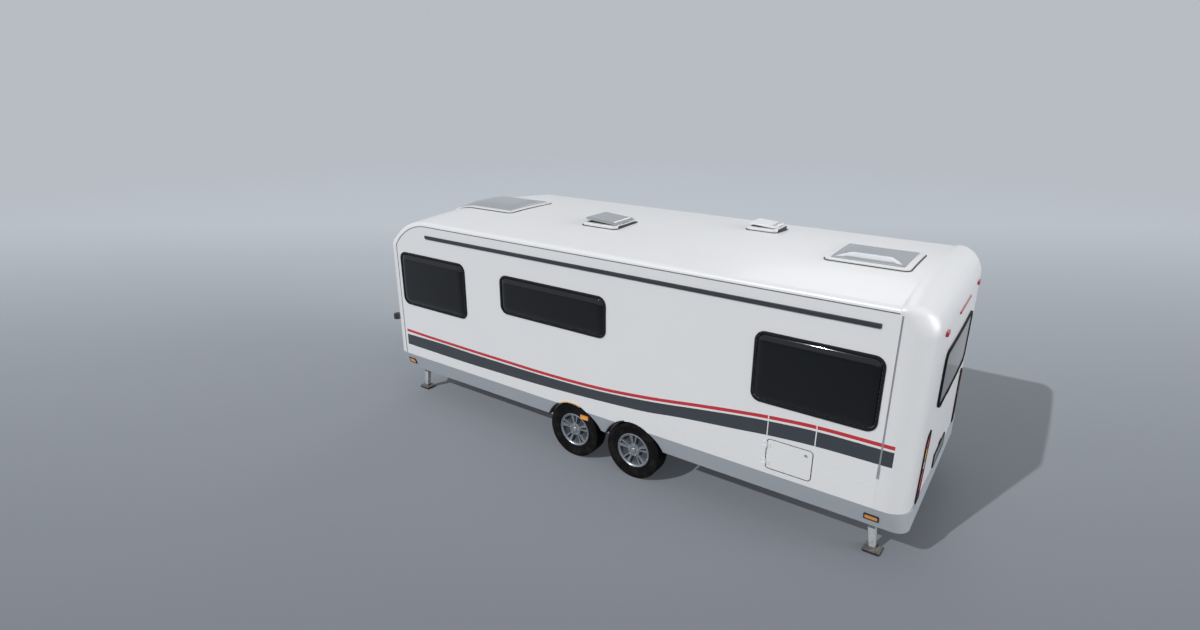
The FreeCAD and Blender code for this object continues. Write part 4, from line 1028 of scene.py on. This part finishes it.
plate_x, plate_z = 0.085, 1.240
dish = plate("door_handle_plate", (plate_x - 0.035, -panel_y - 0.012, plate_z - 0.085),
             (plate_x + 0.065, -panel_y + 0.002, plate_z + 0.065),
             "Y", 0.022, 6, (0, -1, 0), (0.010, 0.0), (0.006, -0.007))
fit(close(dish, frame_rubber, edge=0.0015), "door")
lever = block("door_lever", (plate_x - 0.020, -panel_y - 0.022, plate_z + 0.010),
              (plate_x + 0.010, -panel_y - 0.004, plate_z + 0.034))
press(lever, (1, 0, 0))
pull((0.030, -0.001, -0.002))
resize((1, 0.8, 0.8), (plate_x + 0.040, -panel_y - 0.014, plate_z + 0.020))
pull((0.012, 0.004, -0.002))
lever = close(lever, grip_black, edge=0.003, rounds=3)
fit(lever, "door")


def lock_barrel(name, centre, way, body):
    """A plated lock: a domed collar round a slotted plug. way is the side it faces, +1 or -1."""
    barrel = drum(name, centre, 0.0135, 0.010, 32)
    press(barrel, (0, way, 0), (0.004, 0.0015), (0.001, -0.002), (0.0065, 0.0))
    resize((0.4, 1, 3.0), centre)
    bpy.ops.mesh.inset(thickness=0.0002, depth=-0.004)
    fit(close(barrel, bolt_steel, edge=0.0008), body, "alloy")


hatch_lock_x, hatch_lock_z = -3.150, 0.925
lock_barrel("hatch_lock", Vector((hatch_lock_x, panel_y + 0.002, hatch_lock_z)), 1, "hatch")
lock_barrel("door_lock", Vector((plate_x + 0.015, -panel_y - 0.008, plate_z - 0.045)), -1, "door")
dress(["grab_handles"], frame_rubber)

# ==== Roof lights and vents ====================================================================
# White moulded frames sealed to the roof with black gaskets, whose black band round each foot is
# also a painted shadow line. The roof lights carry smoked acrylic domes raised in a shallow hip.
# The vents carry smaller lids, propped slightly open, with a stiffening strip at the hinge and a
# slatted air outlet in the frame below it, whose dark grey is partly painted shade.

frame_white = gloss_white("frame_white", (0.66, 0.67, 0.685), (0.73, 0.735, 0.745), 0.30, 0.3, 0.0, 300.0, 0.3)
dress(["skylight_frames", "vent_frames", "rear_vent_lid"], frame_white)


def smoked():
    material, tree, shader, place = finish_of("smoked_acrylic", IOR=1.49, Coat_Weight=0.8, Coat_Roughness=0.03)
    cloud, dusty = noise(tree, place, 2.2, 4.0), noise(tree, place, 40.0, 7.0, 0.7)
    colour = mix(tree, cloud, (0.235, 0.255, 0.275), (0.315, 0.335, 0.355))
    colour = mix(tree, ramp(tree, dusty, 0.52, 0.75, 0.0, 0.35), colour, (0.42, 0.42, 0.41))
    surface(tree, shader, colour, ramp(tree, dusty, 0.40, 0.75, 0.10, 0.26), cloud, 0.05, 0.002)
    return material


smoke = smoked()
dress(["skylight_domes", "middle_vent_lid"], smoke)
roof_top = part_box("roof")[1].z
camber_radius = 11.3


def roof_fall(x, y):
    """How far the roof lies below its highest line at one place."""
    ahead = max(0.0, x - nose_centre.x)
    return y * y / (2 * camber_radius) + nose_radius - math.sqrt(nose_radius ** 2 - ahead ** 2)


def lay_on_roof(piece, x0, x1, half_y, middle_y=0.0):
    """Cuts an open mesh into short lengths and lets every part down to the roof's curves."""
    for index in range(1, 10):
        cut(x0 + (x1 - x0) * index / 10, "X")
    for share in (-0.6, -0.2, 0.2, 0.6):
        cut(middle_y + share * half_y, "Y")
    spots = sorted({(round(v.co.x, 4), round(v.co.y, 4)) for v in bmesh.from_edit_mesh(piece.data).verts})
    for x, y in spots:
        pick(piece, "VERT", lambda v: abs(v.co.x - x) < 0.0002 and abs(v.co.y - y) < 0.0002)
        bpy.ops.transform.translate(value=(0, 0, -roof_fall(x, y)))


def hipped_dome(name, x0, x1, half_y):
    """A raised hip of smoked acrylic that follows the roof's curves."""
    base = roof_top + 0.022
    dome = plate(name, (x0, -half_y, base - 0.008), (x1, half_y, base + 0.004), "Z", 0.045, 6, (0, 0, 1))
    length, width = x1 - x0, 2 * half_y
    middle = ((x0 + x1) / 2, 0, base)
    for step, rise in ((0.02, 0.004), (0.10, 0.011), (0.14, 0.013), (0.03, 0.001)):
        pull((0, 0, rise))
        resize(((length - step) / length, (width - step) / width, 1), middle)
        length, width = length - step, width - step
    lay_on_roof(dome, x0, x1, half_y)
    return close(dome, smoke, sharp=14)


def gasket(name, x0, x1, middle_y, half_y, corner):
    """A black rubber gasket squeezed out round the foot of a roof frame, its black band also a painted shadow line.
    """
    low, high = (x0, middle_y - half_y, roof_top - 0.010), (x1, middle_y + half_y, roof_top + 0.006)
    ring = block(name, low, high)
    soften(ring, "Z", corner, 6)
    hollow(ring, (0, 0, 1), 0.030)
    lay_on_roof(ring, x0, x1, half_y, middle_y)
    fit(close(ring, seal_black))


fit(hipped_dome("front_roof_light_hip", 1.110, 1.970, 0.345), slot="smoked_dome")
fit(hipped_dome("rear_roof_light_hip", -3.545, -2.919, 0.297), slot="smoked_dome")
for name, *size in (("front_roof_light_gasket", 1.030, 2.050, 0.0, 0.425, 0.068),
                    ("rear_roof_light_gasket", -3.626, -2.838, 0.0, 0.377, 0.068),
                    ("middle_vent_gasket", -0.560, -0.070, 0.205, 0.245, 0.050),
                    ("rear_vent_gasket", -2.090, -1.710, -0.600, 0.185, 0.050)):
    gasket(name, *size)

# The grille's dark grey is partly painted shade, for the shaded rear faces of the vent frames.
grille_grey = soft_black("grille_grey", (0.050, 0.053, 0.058), (0.085, 0.090, 0.096), 0.5, 300.0)
strip_white = gloss_white("strip_white", (0.78, 0.785, 0.79), (0.82, 0.822, 0.825), 0.3, 0.3, 0.0, 300.0, 0.2)
vent_frame_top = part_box("vent_frames")[1].z - 0.005
lid_tilt = math.radians(4.0)                    # how far the vent lids are propped open


def vent_grille(name, x, middle_y, half_y):
    """A slatted air outlet along the rear side of a vent's frame, its dark grey partly painted shade."""
    low_z, high_z = roof_top - roof_fall(x, abs(middle_y) + half_y) + 0.002, vent_frame_top - 0.012
    grille = block(name, (x - 0.006, middle_y - half_y, low_z), (x + 0.002, middle_y + half_y, high_z))
    for index in range(1, 12):
        cut(middle_y - half_y + index * half_y / 6, "Y")
    press(grille, (-1, 0, 0))
    bpy.ops.mesh.inset(thickness=0.0035, depth=-0.004, use_individual=True)
    fit(close(grille, grille_grey, edge=0.0006), slot="white_trim")


def hinge_strip(name, node, body, material):
    """A ribbed stiffening strip bonded along the rear edge of a vent lid's pane."""
    low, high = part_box(node)
    half_y, middle_y, rear = (high.y - low.y) / 2 - 0.045, (high.y + low.y) / 2, low.x + 0.034
    strip = block(name, (rear, middle_y - half_y, roof_top + 0.053),
                  (rear + 0.030, middle_y + half_y, roof_top + 0.0565))
    press(strip, (0, 0, 1), (0.004, 0.0015), (0.006, -0.001))
    bpy.ops.mesh.select_all(action="SELECT")
    turn(-lid_tilt, "Y", (low.x + 0.005, 0, roof_top + 0.036))
    fit(close(strip, material, edge=0.0008), body, "white_trim")


vent_grille("middle_vent_grille", -0.550, 0.205, 0.180)
vent_grille("rear_vent_grille", -2.080, -0.600, 0.125)
hinge_strip("middle_vent_strip", "middle_vent_lid", "middle_vent", strip_white)
hinge_strip("rear_vent_strip", "rear_vent_lid", "rear_vent", trim_grey)

# ==== Rear lamps and number plate ==============================================================
# Tall lamp clusters of red, amber and clear acrylic in black bezels, with small red markers, a
# high brake light, a plate holder and its lamp, all screwed to the rear moulding. A rubber
# seal is pressed in round the rear window between them.

cluster_foot, cluster_top = 0.62, 1.27


def cluster_lens():
    material, tree, shader, place = finish_of("cluster_lens", Roughness=0.12, Coat_Weight=0.6,
                                              Coat_Roughness=0.05, Emission_Strength=0.25)
    height = add(tree, "SeparateXYZ", {0: place}).outputs[2]
    share = add(tree, "MapRange", {0: height, 1: cluster_foot, 2: cluster_top}).outputs[0]
    bands = add(tree, "ValToRGB", {0: share})
    bands.color_ramp.interpolation = "CONSTANT"
    stops = [(0.0, (0.16, 0.010, 0.012, 1)), (0.14, (0.62, 0.030, 0.045, 1)), (0.46, (0.72, 0.70, 0.66, 1)),
             (0.60, (0.88, 0.36, 0.04, 1)), (0.78, (0.60, 0.028, 0.035, 1)), (0.93, (0.20, 0.012, 0.014, 1))]
    points = bands.color_ramp.elements
    points[0].position, points[0].color = stops[0]
    points[1].position, points[1].color = stops[-1]
    for position, colour in stops[1:-1]:
        points.new(position).color = colour
    facet = prisms_of(tree, place, 130.0)
    # Painted shade: the colour darkens into the grooves between the prisms.
    colour = mix(tree, ramp(tree, facet, 0.0, 1.0, 0.20, 0.0), bands.outputs[0], (0.05, 0.02, 0.02))
    surface(tree, shader, colour, None, facet, 0.4, 0.001)
    tree.links.new(colour, shader.inputs["Emission Color"])
    return material


red_lens = lens_finish("red_lens", (0.36, 0.008, 0.014), (0.56, 0.022, 0.034), 0.10)
plate_grey = drawn_trim("plate_grey", (0.20, 0.21, 0.22), (0.27, 0.28, 0.30))
dress(["rear_lamps"], cluster_lens())
dress(["rear_marker_lights"], red_lens)
dress(["number_plate_holder"], plate_grey)

lamp_outline = [(0.850, 0.622), (0.945, 0.622), (0.915, 0.900), (0.892, 1.190), (0.850, 1.250), (0.775, 1.265),
                (0.790, 1.100), (0.815, 0.850)]
rear_face, bow_radius = -4.057, 38.3            # the rear moulding's middle, and the radius of its bow


def bar(name, start, end, half, depth, material):
    """A bezel bar between two points of an outline on the rear wall."""
    (y0, z0), (y1, z1) = start, end
    run = Vector((y1 - y0, z1 - z0))
    slope = math.atan2(run.y, run.x)
    middle = Vector((0, (y0 + y1) / 2, (z0 + z1) / 2))
    middle.x = rear_face + middle.y ** 2 / (2 * bow_radius)
    piece = block(name, (middle.x - depth, middle.y - run.length / 2 - half * 0.7, middle.z - half),
                  (middle.x + 0.004, middle.y + run.length / 2 + half * 0.7, middle.z + half))
    press(piece, (-1, 0, 0), (half * 0.5, 0.0015))
    bpy.ops.mesh.select_all(action="SELECT")
    turn(slope, "X", middle)
    return close(piece, material, edge=0.001)


def outline_bars(name, points, half, depth, material):
    """Bars from point to point, and back to the first."""
    return [bar(name, start, end, half, depth, material) for start, end in zip(points, points[1:] + points[:1])]


both_sides(bar("left_marker_lens", (0.829, 2.190), (0.893, 2.190), 0.020, 0.018, red_lens), "red_lens")
fit(bar("high_level_lens", (-0.285, 2.198), (0.285, 2.198), 0.0085, 0.0100, red_lens), slot="red_lens")

bars = outline_bars("bezel_bar", lamp_outline, 0.0045, 0.0105, frame_rubber)
for z, low_y, high_y in ((0.711, 0.845, 0.930), (0.919, 0.812, 0.912), (1.010, 0.803, 0.905),
                         (1.127, 0.790, 0.895), (1.224, 0.782, 0.865)):
    bars.append(bar("bezel_bar", (low_y, z), (high_y, z), 0.0020, 0.0095, frame_rubber))
both_sides(joined("left_cluster_bezel", bars))

opening_half, opening_foot, opening_top, corner_reach = 0.690, 1.430, 1.950, 0.085
surround = []
for index, (sign_y, sign_z) in enumerate(((1, 1), (-1, 1), (-1, -1), (1, -1))):
    hub_y = sign_y * (opening_half - corner_reach)
    corner_z = (opening_top - corner_reach) if sign_z > 0 else (opening_foot + corner_reach)
    for step in range(5):
        angle = math.radians(90 * index + 22.5 * step)
        surround.append((hub_y + corner_reach * math.cos(angle), corner_z + corner_reach * math.sin(angle)))
    if index % 2 == 0:
        surround += [(share * hub_y, corner_z + sign_z * corner_reach) for share in (0.5, 0.0, -0.5)]
seal_bars = outline_bars("seal_bar", surround, 0.0075, 0.0185, frame_rubber)
fit(joined("rear_window_seal", seal_bars))

plate_low, plate_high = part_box("number_plate_holder")
plate_half, plate_foot, plate_top = 0.262, 0.635, 0.765
plate_corners = [(-plate_half, plate_foot), (plate_half, plate_foot),
                 (plate_half, plate_top), (-plate_half, plate_top)]
fit(joined("plate_rim", outline_bars("plate_bar", plate_corners, 0.006, 0.0105, lip_rubber)))
plate_lamp = block("plate_lamp", (plate_low.x - 0.001, -0.060, plate_top + 0.007),
                   (plate_high.x + 0.002, 0.060, plate_top + 0.035))
press(plate_lamp, (-1, 0, 0))
pull((-0.005, 0, -0.003))
resize((1, 0.85, 0.7), (0, 0, plate_top + 0.018))
fit(close(plate_lamp, frame_rubber, edge=0.002))

# ==== Jockey wheel =============================================================================
# Solid rubber tyre moulded on a pressed centre. It turns on a pin in the fork below the
# telescopic steel tube at the drawbar.

dress(["jockey_wheel"], soft_black("solid_rubber", (0.016, 0.016, 0.017), (0.040, 0.040, 0.042), 0.66, 200.0))

# ==== Studio ===================================================================================
# A pale blue-grey floor that runs out into an even backdrop, one broad soft lamp high on the
# left side, and an even sky. The camera stands behind the left rear corner, looking down.

deselect()
bpy.ops.mesh.primitive_circle_add(vertices=128, radius=60.0, fill_type="NGON", location=(0, 0, -0.002))
floor = bpy.context.object
floor.name = "studio_floor"
far_colour, sky_light = (0.475, 0.505, 0.55), (0.46, 0.465, 0.475)
paper_far, paper_near = (0.41, 0.44, 0.48), (0.118, 0.131, 0.152)
paper, tree, shader, spot = finish_of("studio_paper", Roughness=0.9, Specular_IOR_Level=0.0)
away = add(tree, "Mapping", {"Vector": spot, "Rotation": (0, 0, math.radians(-35))}).outputs[0]
away = add(tree, "SeparateXYZ", {0: away}).outputs[1]
paper_colour = mix(tree, add(tree, "MapRange", {0: away, 1: -11.0, 2: 8.0}).outputs[0], paper_far, paper_near)
surface(tree, shader, paper_colour)
distance = add(tree, "VectorMath", {0: spot}, operation="LENGTH").outputs["Value"]
glow = add(tree, "Emission", {"Strength": 1.0, "Color": (*far_colour, 1)}).outputs[0]
lift = add(tree, "Emission", {"Strength": 0.15, "Color": paper_colour}).outputs[0]
lifted = add(tree, "AddShader", {0: shader.outputs[0], 1: lift}).outputs[0]
blend = add(tree, "MixShader", {0: ramp(tree, distance, 10.0, 32.0), 1: lifted, 2: glow}).outputs[0]
tree.links.new(blend, tree.nodes["Material Output"].inputs["Surface"])
floor.data.materials.append(paper)

world = bpy.data.worlds.new("studio")
bpy.context.scene.world = world
world.use_nodes = True
sky = world.node_tree
rays = add(sky, "LightPath").outputs
seen = maths(sky, "MAXIMUM", rays["Is Camera Ray"], rays["Is Glossy Ray"])
seen = maths(sky, "MAXIMUM", seen, rays["Is Transmission Ray"])
sky.links.new(mix(sky, seen, sky_light, far_colour), sky.nodes["Background"].inputs["Color"])

for label, energy, width, towards in (("key_lamp", 2.35, 0.8, (0.40, 1.19, 1.0)),
                                      ("far_fill", 0.22, 22.0, (0.21, -0.82, 0.53)),
                                      ("rear_fill", 2.4, 40.0, (-1.0, -0.30, 0.12))):
    lamp = bpy.data.lights.new(label, "SUN")
    lamp.energy, lamp.angle = energy, math.radians(width)
    holder = bpy.data.objects.new(label, lamp)
    bpy.context.collection.objects.link(holder)
    holder.rotation_euler = Vector(towards).to_track_quat("Z", "Y").to_euler()

eye = bpy.data.cameras.new("studio_camera")
eye.lens, eye.sensor_width = 20.37, 36.0
eye.clip_end = 200.0
camera = bpy.data.objects.new("studio_camera", eye)
bpy.context.collection.objects.link(camera)
camera.location = (-4.6865, 6.6364, 4.1726)
camera.rotation_euler = (math.radians(70.25), 0.0, math.radians(-144.94))
bpy.context.scene.camera = camera
bpy.context.scene.view_settings.view_transform = "Standard"
